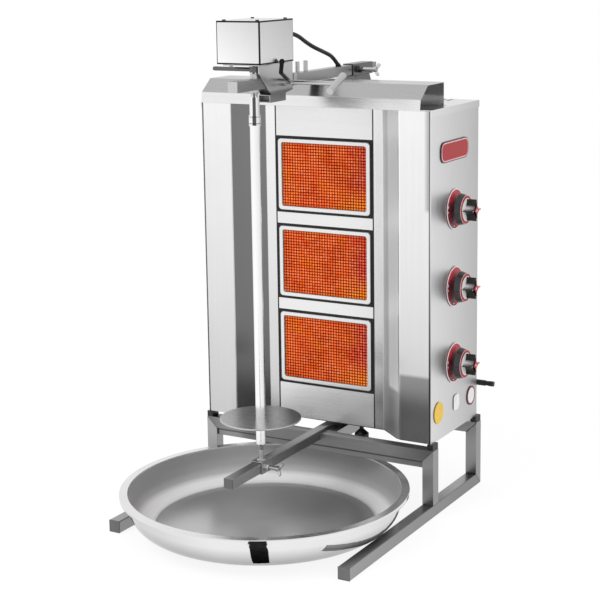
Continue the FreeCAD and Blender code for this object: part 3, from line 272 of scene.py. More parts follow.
def steel(name, grey, grain="z", rough=0.3, streak=0.016, lines=(), patches=(), blurred=None):
    """Bare stainless steel of one grey, of 255, with painted shade: a little lighter on faces to the front and
    darker on faces below.
    lines are (side or None, axis, stops) factors of painted light and shade along an axis, patches (box, soft,
    factor) areas of painted reflection and shade or of darker seams and caps, and blurred is a (box, soft,
    roughness) area."""
    f = Finish(name, 1.0, rough)
    level = None
    # Painted shade: each face's grey by the way it faces, times the painted light and shade of lines
    for i, letter in enumerate("xyz"):
        n = f.axis(letter, f.facing)
        pair = []
        for sign, share in zip("-+", FACE_SHADE[2 * i:2 * i + 2]):
            value = shade(min(WHITEST, grey * share))
            for side, along, stops in lines:
                if side in (None, sign + letter):
                    value = f.math("MULTIPLY", value, f.line(f.along(along), stops))
            pair.append(value)
        value = f.math("MULTIPLY", f.math("MULTIPLY", n, n), f.slide(n, -0.05, 0.05, *pair))
        level = value if level is None else f.math("ADD", level, value)
    # Patches: painted reflection and shade, or darker seams and caps
    for box, soft, factor in patches:
        level = f.math("MULTIPLY", level, f.slide(f.inside(box, soft), 0, 1, 1.0, factor))
    fine = f.noise(GRAIN[grain], 3.0)
    bands = f.noise(BANDS[grain], 2.0, 4.0)
    cloud = f.noise(90, 2.0, 9.0)
    level = f.math("MULTIPLY", level, f.spread(fine, streak))
    level = f.math("MULTIPLY", level, f.spread(bands, streak * 0.8))
    level = f.math("MULTIPLY", level, f.spread(cloud, 0.02))
    f.colour(level)
    sheen = f.slide(f.math("ADD", fine, cloud), 0.6, 1.4, rough * 0.8, rough * 1.2)
    if blurred:
        box, soft, value = blurred
        sheen = f.mix(f.inside(box, soft), sheen, (value, value, value, 1))
    f.rough(sheen)
    f.bump(fine, min(0.06, streak * 4), 0.0002)
    return f.material


def plastic(name, level, rough=0.45, grain=1.2, depth=0.12):
    """Moulded plastic or rubber of a dark or pale grey with a fine grain."""
    f = Finish(name, 0.0, rough, Specular_IOR_Level=0.25)
    fine = f.noise(grain, 3.0)
    wear = f.noise(25, 3.0, 5.0)
    value = f.math("MULTIPLY", f.math("MULTIPLY", shade(level), f.spread(fine, 0.08)), f.spread(wear, 0.08))
    f.colour(value)
    f.rough(f.slide(wear, 0.3, 0.7, rough * 0.85, rough * 1.15))
    f.bump(fine, depth, 0.0002)
    return f.material


def paint(name, colour, rough=0.3, coat=0.3, wear=0.06):
    """Gloss paint or print of one colour, with slight unevenness."""
    f = Finish(name, 0.0, rough, Coat_Weight=coat, Specular_IOR_Level=0.2)
    cloud = f.noise(12, 3.0)
    f.colour(f.mix(f.slide(cloud, 0.3, 0.7), tuple(c * (1 - wear) for c in colour[:3]) + (1,),
                   tuple(min(1, c * (1 + wear)) for c in colour[:3]) + (1,)))
    f.rough(f.slide(cloud, 0.3, 0.7, rough * 0.85, rough * 1.15))
    f.bump(f.noise(0.9, 2.0, 3.0), 0.05, 0.0001)
    return f.material


BEVEL_ANGLE = math.radians(38)


def dress(name, material, bevel=0.0):
    """Gives a CAD node its material and, where bevel is set, small rounded edges of that many millimetres."""
    node = nodes[name]
    for s in node.material_slots:
        s.material = material
    if bevel:
        weld = node.modifiers.new("joined", "WELD")
        weld.merge_threshold = 0.00001
        edge = node.modifiers.new("edges", "BEVEL")
        edge.width = bevel / 1000
        edge.segments = 2
        edge.limit_method = "ANGLE"
        edge.angle_limit = BEVEL_ANGLE
        even = node.modifiers.new("even", "WEIGHTED_NORMAL")
        even.keep_sharp = True


# Light, floor and surroundings

WHITE = (1, 1, 1, 1)
SOFT_LIGHT = 0.72
FLOOR_HALF = 6
FLOOR_Z = -0.0004


def plain_rays(tree):
    """One for camera, mirrored and transmitted rays, nought for diffuse ones."""
    rays = tree.nodes.new("ShaderNodeLightPath")
    found = rays.outputs["Is Camera Ray"]
    for kind in ("Is Glossy Ray", "Is Transmission Ray"):
        either = tree.nodes.new("ShaderNodeMath")
        either.operation = "MAXIMUM"
        tree.links.new(found, either.inputs[0])
        tree.links.new(rays.outputs[kind], either.inputs[1])
        found = either.outputs[0]
    return found


def by_ray(tree, diffuse, plain, output):
    """Shows one shader to diffuse rays and another to the rest."""
    choice = tree.nodes.new("ShaderNodeMixShader")
    tree.links.new(plain_rays(tree), choice.inputs[0])
    tree.links.new(diffuse.outputs[0], choice.inputs[1])
    tree.links.new(plain.outputs[0], choice.inputs[2])
    tree.links.new(choice.outputs[0], tree.nodes[output].inputs["Surface"])


def studio():
    """A white room: plain white for the camera and for reflections, a softer white for diffuse light."""
    world = bpy.data.worlds.new("studio")
    bpy.context.scene.world = world
    world.use_nodes = True
    tree = world.node_tree
    seen = tree.nodes["Background"]
    soft = tree.nodes.new("ShaderNodeBackground")
    for light, strength in ((seen, 1.0), (soft, SOFT_LIGHT)):
        light.inputs["Color"].default_value = WHITE
        light.inputs["Strength"].default_value = strength
    by_ray(tree, soft, seen, "World Output")


def floor():
    """A pale floor that shows white and keeps a light shadow."""
    h = FLOOR_HALF
    mesh = bpy.data.meshes.new("floor")
    mesh.from_pydata([(x, y, FLOOR_Z) for x, y in ((-h, -h), (h, -h), (h, h), (-h, h))], [], [(0, 1, 2, 3)])
    plane = linked("floor", mesh)
    material = bpy.data.materials.new("floor")
    material.use_nodes = True
    tree = material.node_tree
    tree.nodes.remove(tree.nodes["Principled BSDF"])
    plain = tree.nodes.new("ShaderNodeBsdfDiffuse")
    plain.inputs["Color"].default_value = (0.8, 0.8, 0.8, 1)
    shadowed = tree.nodes.new("ShaderNodeBsdfDiffuse")
    shadowed.inputs["Color"].default_value = (0.16, 0.16, 0.16, 1)
    glow = tree.nodes.new("ShaderNodeEmission")
    glow.inputs["Strength"].default_value = 0.88
    pale = tree.nodes.new("ShaderNodeAddShader")
    tree.links.new(shadowed.outputs[0], pale.inputs[0])
    tree.links.new(glow.outputs[0], pale.inputs[1])
    by_ray(tree, plain, pale, "Material Output")
    mesh.materials.append(material)


CABINET_MIDDLE = Vector((0, 0, 0.45))


def lamp(name, spot, size, power):
    """A large soft lamp that looks at the cabinet's middle and isn't mirrored in the metal."""
    data = bpy.data.lights.new(name, "AREA")
    data.shape = "SQUARE"
    data.size = size
    data.energy = power
    made = linked(name, data)
    made.location = spot
    made.rotation_euler = (CABINET_MIDDLE - Vector(spot)).to_track_quat("-Z", "Y").to_euler()
    made.visible_glossy = False
    made.visible_camera = False


scene = bpy.context.scene
scene.view_settings.view_transform = "Standard"
studio()
floor()
lamp("key", (-1.2, -2.6, 2.9), 2.2, 58)
lamp("side", (3.0, -1.2, 1.8), 2.0, 22)


# Pieces that Blender adds

def solid(name, verts, faces, material, body="frame", bevel=0.0, smooth=False):
    """A mesh piece from points in the part's own millimetres."""
    mesh = bpy.data.meshes.new(name)
    mesh.from_pydata([place(*v) for v in verts], [], faces)
    mesh.polygons.foreach_set("use_smooth", [smooth] * len(mesh.polygons))
    mesh.materials.append(material)
    piece = linked(name, mesh)
    if bevel:
        edge = piece.modifiers.new("edges", "BEVEL")
        edge.width = bevel / 1000
        edge.segments = 2
        edge.limit_method = "ANGLE"
    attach(piece, body)
    return piece


def slab(name, outline, x0, x1, material, body="frame", bevel=0.0, hole=None):
    """A flat piece from x0 to x1 with an outline of (y, z) points, and a hole of as many points."""
    n = len(outline)
    rings = [outline, outline, hole, hole] if hole else [outline, outline]
    verts = [(x, y, z) for ring, x in zip(rings, (x0, x1, x1, x0)) for y, z in ring]
    faces = []
    for r in range(len(rings) if hole else 1):
        low, high = r * n, (r + 1) % len(rings) * n
        faces += [(low + i, low + (i + 1) % n, high + (i + 1) % n, high + i) for i in range(n)]
    if not hole:
        faces += [tuple(range(n))[::-1], tuple(range(n, 2 * n))]
    return solid(name, verts, faces, material, body, bevel)


def circle(y, z, radius, count=72, stretch=1.0):
    turns = [2 * math.pi * i / count for i in range(count)]
    return [(y + radius * math.cos(a), z + radius * stretch * math.sin(a)) for a in turns]


def rounded(y, z, width, height, corner, steps=8):
    """A rectangle with round corners about its middle."""
    points = []
    for turn, (sy, sz) in enumerate(((1, 1), (-1, 1), (-1, -1), (1, -1))):
        for i in range(steps + 1):
            a = math.pi / 2 * (turn + i / steps)
            points.append((y + sy * (width / 2 - corner) + corner * math.cos(a),
                           z + sz * (height / 2 - corner) + corner * math.sin(a)))
    return points


def star(y, z, reach, waist, hollow, steps=8):
    """The grip's end: four points with hollow sides between them."""
    points = []
    middle = (waist + hollow) * math.sqrt(0.5)
    for turn in range(4):
        a = math.pi / 2 * turn
        cy = middle * (math.cos(a) - math.sin(a))
        cz = middle * (math.sin(a) + math.cos(a))
        spread = math.radians(37)
        first = a + math.radians(225) + spread
        points.append((y + reach * math.cos(a), z + reach * math.sin(a)))
        for i in range(steps + 1):
            b = first - 2 * spread * i / steps
            points.append((y + cy + hollow * math.cos(b), z + cz + hollow * math.sin(b)))
    return points


def wire(verts, faces, line, radius):
    """Adds a thin four-sided wire along a line of points that runs across or up."""
    across = abs(line[-1][0] - line[0][0]) > abs(line[-1][2] - line[0][2])
    start = len(verts)
    for x, y, z in line:
        for a, b in ((radius, 0), (0, radius), (-radius, 0), (0, -radius)):
            verts.append((x, y + a, z + b) if across else (x + b, y + a, z))
    for i in range(len(line) - 1):
        for j in range(4):
            a, b = start + 4 * i + j, start + 4 * i + (j + 1) % 4
            faces.append((a, b, b + 4, a + 4))


def burner_mesh(number, z, material):
    """Woven wire in front of a burner's tiles: every wire passes over one and under the next."""
    verts, faces = [], []
    columns, rows = MESH_CELLS
    width, height = MESH_SIZE
    step_x, step_z = width / columns, height / rows
    left, low = MESH_EDGE - width / 2, z + MESH_EDGE - height / 2
    for c in range(1, columns):
        x = c * step_x - width / 2
        line = [(x, MESH_Y + MESH_WAVE * math.cos(math.pi * (r / 2 + c)), low + r * step_z / 2 * MESH_FILL[1])
                for r in range(2 * rows + 1)]
        wire(verts, faces, line, MESH_WIRE)
    for r in range(1, rows):
        at = z - height / 2 + r * step_z
        line = [(left + c * step_x / 2 * MESH_FILL[0], MESH_Y - MESH_WAVE * math.cos(math.pi * (c / 2 + r)), at)
                for c in range(2 * columns + 1)]
        wire(verts, faces, line, MESH_WIRE)
    return solid("burner_mesh_%d" % number, verts, faces, material, smooth=True)


# Places and sizes in the part's own millimetres
MESH_Y = 45.3
MESH_WIRE = 0.85
MESH_WAVE = 0.45
MESH_EDGE = 0.4
MESH_FILL = (0.995, 0.993)
MESH_CELLS = (32, 22)
MESH_SIZE = (184.0, 124.0)
BURNER_Z = (630.0, 458.0, 286.0)
BURNER_PITCH = 172
KNOB_Z = (575.0, 426.0, 277.0)
KNOB_PITCH = 149.0
SKIRT_X = 270.6
KNOB_Y = 106.0
PANEL_X = 247.5
PAN_Y = -196.0
SKEWER_Y = -205.0


# Finishes

rubber = plastic("rubber", 30, 0.6)
black = plastic("black_plastic", 24, 0.35)
nozzle = plastic("black_hose_nozzle", 40, 0.4)
plug = plastic("plug_plastic", 112, 0.5)


def pan_finish():
    """Mirror-bright outside and rim, satin inside, with painted reflection and shade, and a painted highlight ring
    at the bottom corner.
    """
    f = Finish("drip_pan", 1.0, 0.2)
    far = f.reach(0, PAN_Y)
    angle = f.turn(0, PAN_Y)
    height = f.axis("z")
    radial = f.vector("NORMALIZE", f.vector("MULTIPLY_ADD", f.mm, (1, 1, 0), (0, -PAN_Y, 0)))
    out = f.vector("DOT_PRODUCT", f.facing, radial)
    outside = f.slide(out, -0.12, 0.12)
    below = f.slide(f.axis("z", f.facing), -0.3, -0.6)
    outside = f.math("MAXIMUM", outside, below)
    # Painted reflection around the outside wall, painted shade towards its foot, and a painted highlight ring low
    # on the inner wall
    walls = f.line(angle, OUTER_TURN)
    walls = f.math("MULTIPLY", walls, f.line(height, OUTER_HEIGHT))
    inner_wall = f.math("MULTIPLY", INNER_WALL, f.line(height, INNER_HEIGHT))
    # The bottom painted lighter towards the front, with painted shade and highlight rings across it
    front = f.slide(f.axis("y"), PAN_Y + 50, PAN_Y - 60)
    bottom = f.math("MULTIPLY", BOTTOM, f.mix(front, f.line(far, BOTTOM_REACH), (1, 1, 1, 1)))
    inner = f.mix(f.slide(height, 26, 34), bottom, inner_wall)
    level = f.mix(outside, inner, walls)
    level = f.mix(f.slide(height, 79.5, 81.5), level, (RIM, RIM, RIM, 1))
    rings = f.noise((2.5, 2.5, 2.5), 2.0)
    cloud = f.noise(70, 2.0, 3.0)
    level = f.mix(1.0, level, f.math("MULTIPLY", f.spread(rings, 0.015), f.spread(cloud, 0.03)), "MULTIPLY")
    f.colour(level)
    f.rough(f.math("MULTIPLY", f.slide(outside, 0, 1, 0.4, 0.05), f.slide(cloud, 0.3, 0.7, 0.9, 1.1)))
    f.put(f.shader.inputs["Metallic"], f.math("MAXIMUM", f.slide(outside, 0, 1, 0.1, 1.0), f.slide(height, 79, 81)))
    f.bump(rings, 0.03, 0.0002)
    return f.material


# Painted reflection and shade around and up the pan: brightest in front, darker to the foot, the inner wall darker
# than the bottom, and a painted highlight ring at the inner corner
OUTER_TURN = [(at, shade(grey)) for at, grey in ((-180, 150), (-80, 230), (-30, 230), (60, 170), (180, 150))]
OUTER_HEIGHT = [(16, 0.25), (60, 1.0)]
INNER_WALL = shade(165)
INNER_HEIGHT = [(30, 1.5), (46, 1.0)]
BOTTOM = shade(240)
BOTTOM_REACH = [(60, 1.0), (180, 0.65), (220, 1.1)]
RIM = shade(225)


def tile_finish():
    """Glowing ceramic: small bright squares, yellower low on the right and crimson at the right edge."""
    f = Finish("burner_tiles", 0.0, 0.8, Specular_IOR_Level=0.0)
    x, z = f.axis("x"), f.axis("z")
    above = f.math("ADD", z, BURNER_PITCH / 2 - BURNER_Z[2])
    up = f.math("SUBTRACT", f.math("FLOORED_MODULO", above, BURNER_PITCH), BURNER_PITCH / 2)
    per_mm = (MESH_CELLS[0] / MESH_SIZE[0], 0, MESH_CELLS[1] / MESH_SIZE[1])
    cells = f.vector("MULTIPLY_ADD", f.mm, per_mm, (0.0, 0, 0))
    spots = f.tree.nodes.new("ShaderNodeTexWhiteNoise")
    spots.noise_dimensions = "3D"
    f.put(spots.inputs["Vector"], f.vector("FLOOR", cells))
    spot = spots.outputs["Value"]
    cloud = f.noise((34, 400, 30), 3.0)
    second = f.noise((50, 400, 36), 2.0, 6.0)
    warm = f.mix(f.slide(cloud, 0.35, 0.65), tint(235, 96, 42), tint(255, 128, 70))
    warm = f.mix(f.math("MULTIPLY", f.slide(second, 0.52, 0.72), 0.7), warm, tint(250, 135, 30))
    low_right = f.math("MULTIPLY", f.slide(x, 10, 85), f.slide(up, -10, -52))
    warm = f.mix(f.math("MULTIPLY", low_right, 0.75), warm, tint(255, 160, 40))
    edge = f.math("MULTIPLY", f.slide(x, 42, 90), f.slide(up, -48, -10))
    warm = f.mix(f.math("MULTIPLY", edge, 0.7), warm, tint(205, 60, 70))
    warm = f.mix(f.math("MULTIPLY", f.slide(spot, 0.55, 1.0), 0.35), warm, tint(255, 170, 130))
    rim = f.math("MAXIMUM", f.slide(f.math("ABSOLUTE", x), 88, 92), f.slide(f.math("ABSOLUTE", up), 58, 62))
    warm = f.mix(f.math("MULTIPLY", rim, 0.7), warm, tint(120, 30, 20))
    f.colour(warm)
    f.put(f.shader.inputs["Emission Color"], warm)
    f.shader.inputs["Emission Strength"].default_value = 0.45
    f.bump(f.noise(1.1, 1.0, 2.0), 0.25, 0.0004)
    return f.material


def wire_finish():
    """Hot wire of a dull dark red."""
    f = Finish("hot_wire", 0.0, 0.8, Specular_IOR_Level=0.0)
    cloud = f.noise((40, 400, 34), 3.0, 1.0)
    warm = f.mix(f.slide(cloud, 0.35, 0.65), tint(96, 12, 1), tint(128, 30, 1))
    edge = f.math("MULTIPLY", f.slide(f.axis("x"), 46, 90), 0.6)
    warm = f.mix(edge, warm, tint(96, 8, 20))
    f.colour(warm)
    f.put(f.shader.inputs["Emission Color"], warm)
    f.shader.inputs["Emission Strength"].default_value = 0.35
    f.bump(f.noise(0.6, 2.0), 0.2, 0.0002)
    return f.material


def knob_finish(number, z):
    """Black gloss plastic, with a pale highlight painted low on the left of the grip's hollow sides."""
    f = Finish("knob_%d" % number, 0.0, 0.22, Specular_IOR_Level=0.4)
    across, out = f.axis("y"), f.axis("x")
    up = f.math("SUBTRACT", f.axis("z"), z)
    fine = f.noise(0.8, 3.0)
    wear = f.noise(14, 3.0, 5.0)
    base = f.math("MULTIPLY", shade(20), f.math("MULTIPLY", f.spread(fine, 0.1), f.spread(wear, 0.15)))
    skirt = f.slide(out, SKIRT_X, SKIRT_X - 0.6)
    base = f.mix(skirt, base, f.math("MULTIPLY", shade(50), f.spread(wear, 0.3)))
    # Painted highlight: pale low on the left of the grip's hollow sides, fading towards the grip's end
    near = f.math("MULTIPLY", f.slide(across, KNOB_Y - 1, KNOB_Y - 5), f.slide(up, 9.5, 5.0))
    near = f.math("MULTIPLY", near, f.slide(up, 0.5, 3.5))
    painted_highlight = f.math("MULTIPLY", near, f.slide(out, 290, 272, 0.3, 1.0))
    painted_highlight = f.math("MULTIPLY", painted_highlight, f.slide(out, SKIRT_X, SKIRT_X + 0.8))
    f.colour(f.mix(painted_highlight, base, tint(215, 215, 218)))
    f.rough(f.slide(wear, 0.3, 0.7, 0.18, 0.28))
    f.bump(fine, 0.05, 0.0001)
    return f.material


def bezel_finish():
    """Red enamel, deep crimson low on the left of each knob."""
    f = Finish("bezel_enamel", 0.0, 0.3, Specular_IOR_Level=0.2)
    above = f.math("SUBTRACT", f.axis("z"), KNOB_Z[2] - KNOB_PITCH / 2)
    up = f.math("SUBTRACT", f.math("FLOORED_MODULO", above, KNOB_PITCH), KNOB_PITCH / 2)
    deep = f.math("MULTIPLY", f.slide(up, 20, 10), f.slide(f.axis("y"), KNOB_Y + 12, KNOB_Y - 8))
    cloud = f.noise(9, 3.0)
    bright = f.mix(f.slide(cloud, 0.3, 0.7), tint(190, 44, 58), tint(208, 62, 76))
    f.colour(f.mix(deep, bright, tint(120, 14, 38)))
    f.rough(f.slide(cloud, 0.3, 0.7, 0.25, 0.35))
    f.bump(f.noise(0.9, 2.0, 3.0), 0.05, 0.0001)
    return f.material


red_paint = paint("red_enamel", tint(172, 40, 46), 0.35, 0.0)
dark_red = paint("dark_red_print", tint(120, 40, 55), 0.4, 0.0)
pink = paint("pale_line", tint(240, 190, 196), 0.4, 0.0)
pale = paint("pale_rim", tint(252, 236, 236), 0.4, 0.0)
white = paint("white_print", tint(246, 246, 246), 0.4, 0.1)
yellow = paint("yellow_print", tint(248, 205, 74), 0.4, 0.1)
dark_edge = paint("dark_edge", tint(70, 55, 60), 0.4, 0.0)

SEAM = 0.03
CASE_LEFT, CASE_RIGHT, CASE_FRONT, CASE_REAR, CASE_LOW, CASE_HIGH = -43.7, 43.7, -256.0, -141.0, 864.0, 939.0
FRONT_EDGE, RIGHT_EDGE = (CASE_FRONT - 2, CASE_FRONT + 1.4), (CASE_RIGHT - 2, CASE_RIGHT + 2)
TOP_EDGE, FOOT_EDGE = (CASE_HIGH - 2.8, CASE_HIGH + 2), (CASE_LOW - 2, CASE_LOW + 2.8)
case_seams = [
    ((None, FRONT_EDGE, TOP_EDGE), 0.5, SEAM),
    ((None, FRONT_EDGE, FOOT_EDGE), 0.5, SEAM),
    (((CASE_LEFT - 2, CASE_LEFT + 1.4), (CASE_FRONT - 2, CASE_FRONT + 2.0), None), 0.5, SEAM * 2),
    (((CASE_RIGHT - 2.4, CASE_RIGHT + 2), (CASE_FRONT - 2, CASE_FRONT + 2.4), None), 0.5, SEAM),
    ((RIGHT_EDGE, None, TOP_EDGE), 0.5, SEAM),
    ((RIGHT_EDGE, None, FOOT_EDGE), 0.5, SEAM),
    ((RIGHT_EDGE, (CASE_REAR - 1.6, CASE_REAR + 2), None), 0.5, 0.3),
]

# Plain gradients of painted light and shade along a face: legs darker towards the foot, wings darker low down,
# panels darker to the rear, the canopy darker above its fold and the motor case lighter low down
LEG_SHADE = ("-y", "z", ((23, 0.6), (100, 1.0)))
WING_SHADE = ("-y", "z", ((142, 0.7), (770, 1.1)))
PANEL_SHADE = ("+x", "y", ((0, 1.2), (218, 0.8)))
CANOPY_FOLD_SHADE = ((789, 1.0), (791, 0.6))
CASE_UPWARD_SHADE = ((CASE_LOW, 1.1), (CASE_HIGH, 0.9))
# Painted reflection around the chrome shaft and muff: a dark stripe towards the front, and darker to the right
CHROME_REFLECTION = (None, ("turn", 0, SKEWER_Y), (
    (-180, 0.8), (-85, 1.0), (-80, 0.1), (-48, 0.1), (-40, 1.0), (40, 0.6), (180, 0.8)))

# Areas on the wings painted darker and lighter as reflections
WING_FLAT, WING_SLOPE = (-5, 1.4), (1.4, 60)
LEFT_SLOPE = (-181.6, -127.3)
LEFT_REFLECTIONS = [
    ((LEFT_SLOPE, WING_SLOPE, None), 1.0, 0.26),
    ((LEFT_SLOPE, WING_SLOPE, (142, 190)), 30, 0.75),
]
RIGHT_REFLECTIONS = [
    (((181.5, 246), WING_FLAT, (130, 271)), 7, 0.2),
    (((236, 244), WING_FLAT, (585, 770)), 8, 0.35),
    (((146, 181.4), WING_SLOPE, (236, 770)), 8, 1.9),
    (((127, 181), WING_SLOPE, (142, 232)), 40, 0.6),
]
RIGHT_BLURRED = (((125, 181.4), WING_SLOPE, None), 2.0, 0.5)
# Painted shade in the coupling muff's two grooves
MUFF_GROOVE_SHADE = [((None, None, (757.2, 758.4)), 0.4, 0.12), ((None, None, (769.0, 770.0)), 0.4, 0.2)]
LEVER_CAP = [(((-200, 60.5), None, (831.5, 900)), 3.0, 0.03)]

FINISHES = {
    "drip_pan": pan_finish(), "knob_bezels": bezel_finish(), "burner_tiles": tile_finish(),
    "tube_plugs": plug, "rocker_switch": black, "cable_glands": rubber, "gas_inlet": nozzle,
}


def steels(names, grey, grain, rough, *streak, **more):
    """A steel finish of its own for each of the nodes."""
    for name in names.split():
        FINISHES[name] = steel(name, grey, grain, rough, *streak, **more)


steels("rail_left arm_carrier", TUBE, "y", 0.34)
# Painted light: the rail's right side lighter in front and darker to the rear
steels("rail_right", TUBE, "y", 0.34, lines=[("+x", "y", ((-338, 1.1), (226, 0.7)))])
steels("front_leg_left front_leg_right rear_leg_right", TUBE, "z", 0.34, lines=[LEG_SHADE])
steels("rear_leg_left", TUBE, "z", 0.34)
steels("rear_beam", TUBE, "x", 0.34)
# A painted shadow line where the flat bar meets the beam, and painted shade at the beam's ends under the wings
steels("front_beam", TUBE, "x", 0.34, lines=[
    ("-y", "z", ((103.5, 1.0), (104.5, 0.4), (106.5, 0.4), (107.5, 1.0))),
    ("-y", "x", ((-240, 0.5), (-160, 1.0), (160, 1.0), (240, 0.5)))])
# Painted light: the lower arm's right side lighter in front and darker to the rear
steels("lower_arm", TUBE, "y", 0.3, lines=[("+x", "y", ((-330, 1.6), (28, 0.8)))])
# Painted light: the upper arm's right side lighter in front, darker to the rear and lighter towards its top
steels("upper_arm", TUBE, "y", 0.3, lines=[
    ("+x", "y", ((-275, 1.1), (250, 0.8))), ("+x", "z", ((817, 0.8), (836, 1.1)))])
steels("side_panel_left back_panel", SHEET, "z", 0.3)
# Painted shade: the right panel and the lid darker to the rear, and the right panel's front edge darker low down
steels("side_panel_right", SHEET, "z", 0.4, 0.01, lines=[PANEL_SHADE, ("-y", "z", ((250, 0.2), (550, 1.1)))])
steels("top_panel", SHEET, "x", 0.3, lines=[PANEL_SHADE])
steels("bottom_panel", DULL, "x", 0.35)
steels("blank_panels", SHEET, "x", 0.3)
# Painted shade and painted reflections on the wings
steels("wing_left", SHEET, "z", 0.22, lines=[WING_SHADE], patches=LEFT_REFLECTIONS)
steels("wing_right", SHEET, "z", 0.2, lines=[WING_SHADE], patches=RIGHT_REFLECTIONS, blurred=RIGHT_BLURRED)
steels("canopy", SHEET, "x", 0.26, lines=[("-y", "z", CANOPY_FOLD_SHADE), ("+z", "z", CANOPY_FOLD_SHADE)])
# Painted light: the case lighter to its left and low down, the cover lighter to its front and low down; the seams
# at their edges are darker
steels("motor_case", SHEET, "z", 0.28, 0.005, patches=case_seams, lines=[
    ("-y", "x", ((CASE_LEFT, 1.1), (CASE_RIGHT, 0.9))), ("-y", "z", CASE_UPWARD_SHADE)])
steels("motor_cover", SHEET, "z", 0.28, 0.005, patches=case_seams, lines=[
    ("+x", "y", ((CASE_FRONT, 1.1), (CASE_REAR, 0.9))), ("+x", "z", CASE_UPWARD_SHADE)])
# Painted shade low on the bracket's right cheek
steels("motor_bracket", FITTING, "z", 0.3, lines=[("+x", "z", ((809, 0.5), (813, 1.1)))])
steels("upper_arm_fittings lower_slider return_spring", FITTING, "z", 0.3)
steels("drive_shaft", BRIGHT, "z", 0.14, lines=[CHROME_REFLECTION])
steels("coupling_muff", BRIGHT, "z", 0.14, lines=[CHROME_REFLECTION], patches=MUFF_GROOVE_SHADE)
steels("skewer", BRIGHT, "z", 0.18)
# Painted light: the disc's top lighter towards the front
steels("meat_disc", FITTING, "x", 0.28, lines=[("+z", "y", ((-280, 1.2), (-130, 1.0)))])
steels("arm_sleeve", DULL, "y", 0.32)
steels("release_handle", DULL, "x", 0.3)
steels("clamp_screw", FITTING, "x", 0.2, patches=LEVER_CAP)
steels("wing_bolt_upper wing_bolt_lower", FITTING, "x", 0.2)
steels("gas_pipework", FITTING, "z", 0.4)
steels("gas_valves", FITTING, "x", 0.4)
steels("drive_gear motor_pinion gear_motor", DULL, "x", 0.4)
steels("case_screws", DARK, "x", 0.4)
steels("cabinet_feet", DARK, "z", 0.4)
steels("burner_boxes", DARK, "z", 0.6)
for i, knob_z in enumerate(KNOB_Z, 1):
    FINISHES["knob_%d" % i] = knob_finish(i, knob_z)
    steels("valve_spindle_%d" % i, FITTING, "x", 0.3)
    steels("burner_frame_%d" % i, SHEET, "x", 0.35)

# Rounded edges by their width
BEVELS = {name: width for width, names in {
    1.6: "rail_left rail_right front_leg_left front_leg_right rear_leg_left rear_leg_right rear_beam",
    1.2: "front_beam lower_arm upper_arm arm_carrier",
    0.8: "tube_plugs burner_frame_1 burner_frame_2 burner_frame_3",
    0.7: "knob_1 knob_2 knob_3",
    0.6: "motor_bracket arm_sleeve meat_disc lower_slider knob_bezels clamp_screw",
    0.5: "motor_case motor_cover drip_pan",
    0.4: "wing_left wing_right side_panel_left blank_panels canopy",
}.items() for name in names.split()}

for name, material in FINISHES.items():
    dress(name, material, BEVELS.get(name, 0.0))
nodes["burner_tiles"].visible_glossy = False
nodes["burner_boxes"].visible_glossy = False
cord.data.materials.append(rubber)


# Detail pieces

hot = wire_finish()
for i, at in enumerate(BURNER_Z, 1):
    burner_mesh(i, at, hot).visible_glossy = False

# Middles of the badge and the stickers on the side panel, as (y, z)
BADGE = (103.0, 687.0)
YELLOW_STICKER = (34, 196)
LABEL = (115.5, 196)
RINGED_STICKER = (186, 191)
RING_INSIDE = 15.5
slab("badge_edge", rounded(*BADGE, 125, 39, 15), PANEL_X, PANEL_X + 0.7, dark_edge, bevel=0.2)
slab("badge_line", rounded(*BADGE, 121, 35.5, 13.5), PANEL_X + 0.7, PANEL_X + 0.95, pink)
slab("badge_face", rounded(*BADGE, 116, 31, 11.5), PANEL_X + 0.95, PANEL_X + 1.3, red_paint, bevel=0.12)
slab("sticker_yellow", circle(*YELLOW_STICKER, 20.5, 64, 1.02), PANEL_X, PANEL_X + 0.25, yellow, bevel=0.08)
slab("sticker_label", rounded(*LABEL, 26, 31, 8), PANEL_X, PANEL_X + 0.2, white, bevel=0.08)
slab("sticker_ring", circle(*RINGED_STICKER, 19), PANEL_X, PANEL_X + 0.3, dark_red, bevel=0.08,
     hole=circle(*RINGED_STICKER, RING_INSIDE))
slab("sticker_disc", circle(*RINGED_STICKER, RING_INSIDE), PANEL_X, PANEL_X + 0.2, white)

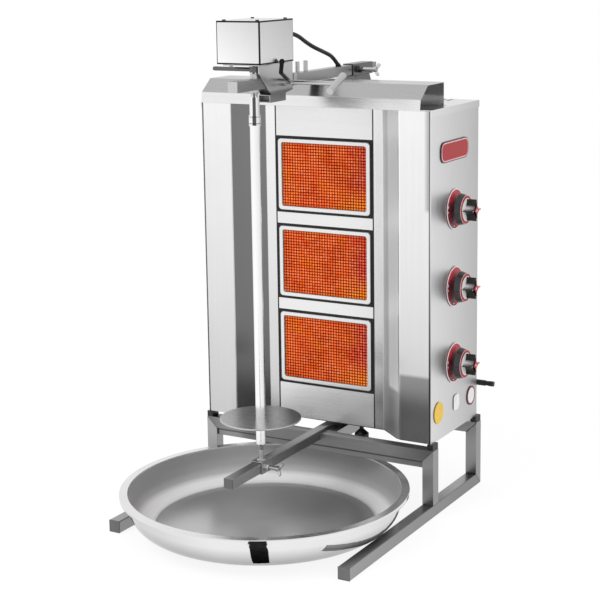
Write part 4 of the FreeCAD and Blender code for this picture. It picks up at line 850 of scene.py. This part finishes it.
# Where the bezel's marks start and end, in degrees, the radii of its rim and marks and of the knob's ring,
# and where the knob's skirt and grip end
BEZEL_MARKS = ((163, 172), (180, 188), (255, 262))
BEZEL_RIM, BEZEL_RIM_INSIDE = 38.8, 36.55
MARK_OUTSIDE, MARK_INSIDE = 33.8, 31.6
KNOB_RING_EDGE, KNOB_RING, KNOB_RING_INSIDE, KNOB_FACE, KNOB_DOT = 27.2, 26.4, 21.9, 21.7, 2.6
RING_X, END_X = 270.1, 291.1
for i, at in enumerate(KNOB_Z, 1):
    body = "knob_%d" % i
    slab("bezel_rim_%d" % i, circle(KNOB_Y, at, BEZEL_RIM), PANEL_X, PANEL_X + 0.9, pale, bevel=0.15,
         hole=circle(KNOB_Y, at, BEZEL_RIM_INSIDE))
    for k, (low, high) in enumerate(BEZEL_MARKS, 1):
        outer = [(KNOB_Y + r * math.cos(math.radians(a)), at + r * math.sin(math.radians(a)))
                 for r, turns in ((MARK_OUTSIDE, range(low, high + 1, 3)), (MARK_INSIDE, range(high, low - 1, -3)))
                 for a in turns]
        slab("bezel_mark_%d_%d" % (i, k), outer, PANEL_X + 0.6, PANEL_X + 1.0, white)
    slab("knob_ring_%d" % i, circle(KNOB_Y, at, KNOB_RING), RING_X, RING_X + 0.8, red_paint, body, 0.15,
         circle(KNOB_Y, at, KNOB_RING_INSIDE))
    slab("knob_ring_edge_%d" % i, circle(KNOB_Y, at, KNOB_RING_EDGE),
         RING_X - 0.2, RING_X + 0.6, pink, body, 0.1,
         circle(KNOB_Y, at, KNOB_RING))
    slab("knob_face_%d" % i, circle(KNOB_Y, at, KNOB_FACE), RING_X + 1.0, RING_X + 1.5, white, body, 0.1)
    slab("knob_end_edge_%d" % i, star(KNOB_Y, at, 19.6, 8.0, 17.0), END_X, END_X + 0.4, pink, body)
    slab("knob_end_face_%d" % i, star(KNOB_Y, at, 16.2, 6.2, 17.6), END_X + 0.4, END_X + 0.6, red_paint, body)
    slab("knob_end_dot_%d" % i, circle(KNOB_Y, at, KNOB_DOT, 24), END_X + 0.6, END_X + 0.8, pink, body)


FLAG_CORNERS = [(97, -401), (124, -388), (651, -1263), (424, -1370)]


def flag():
    """A black strip on the floor in front of the pan, seen only in polished steel."""
    mesh = bpy.data.meshes.new("flag")
    mesh.from_pydata([place(x, y, 1.0) for x, y in FLAG_CORNERS], [], [(0, 1, 2, 3)])
    mesh.materials.append(plastic("flag_cloth", 5, 0.9))
    strip = linked("flag", mesh)
    strip.visible_camera = False
    strip.visible_diffuse = False
    strip.visible_shadow = False
    strip.visible_transmission = False


flag()
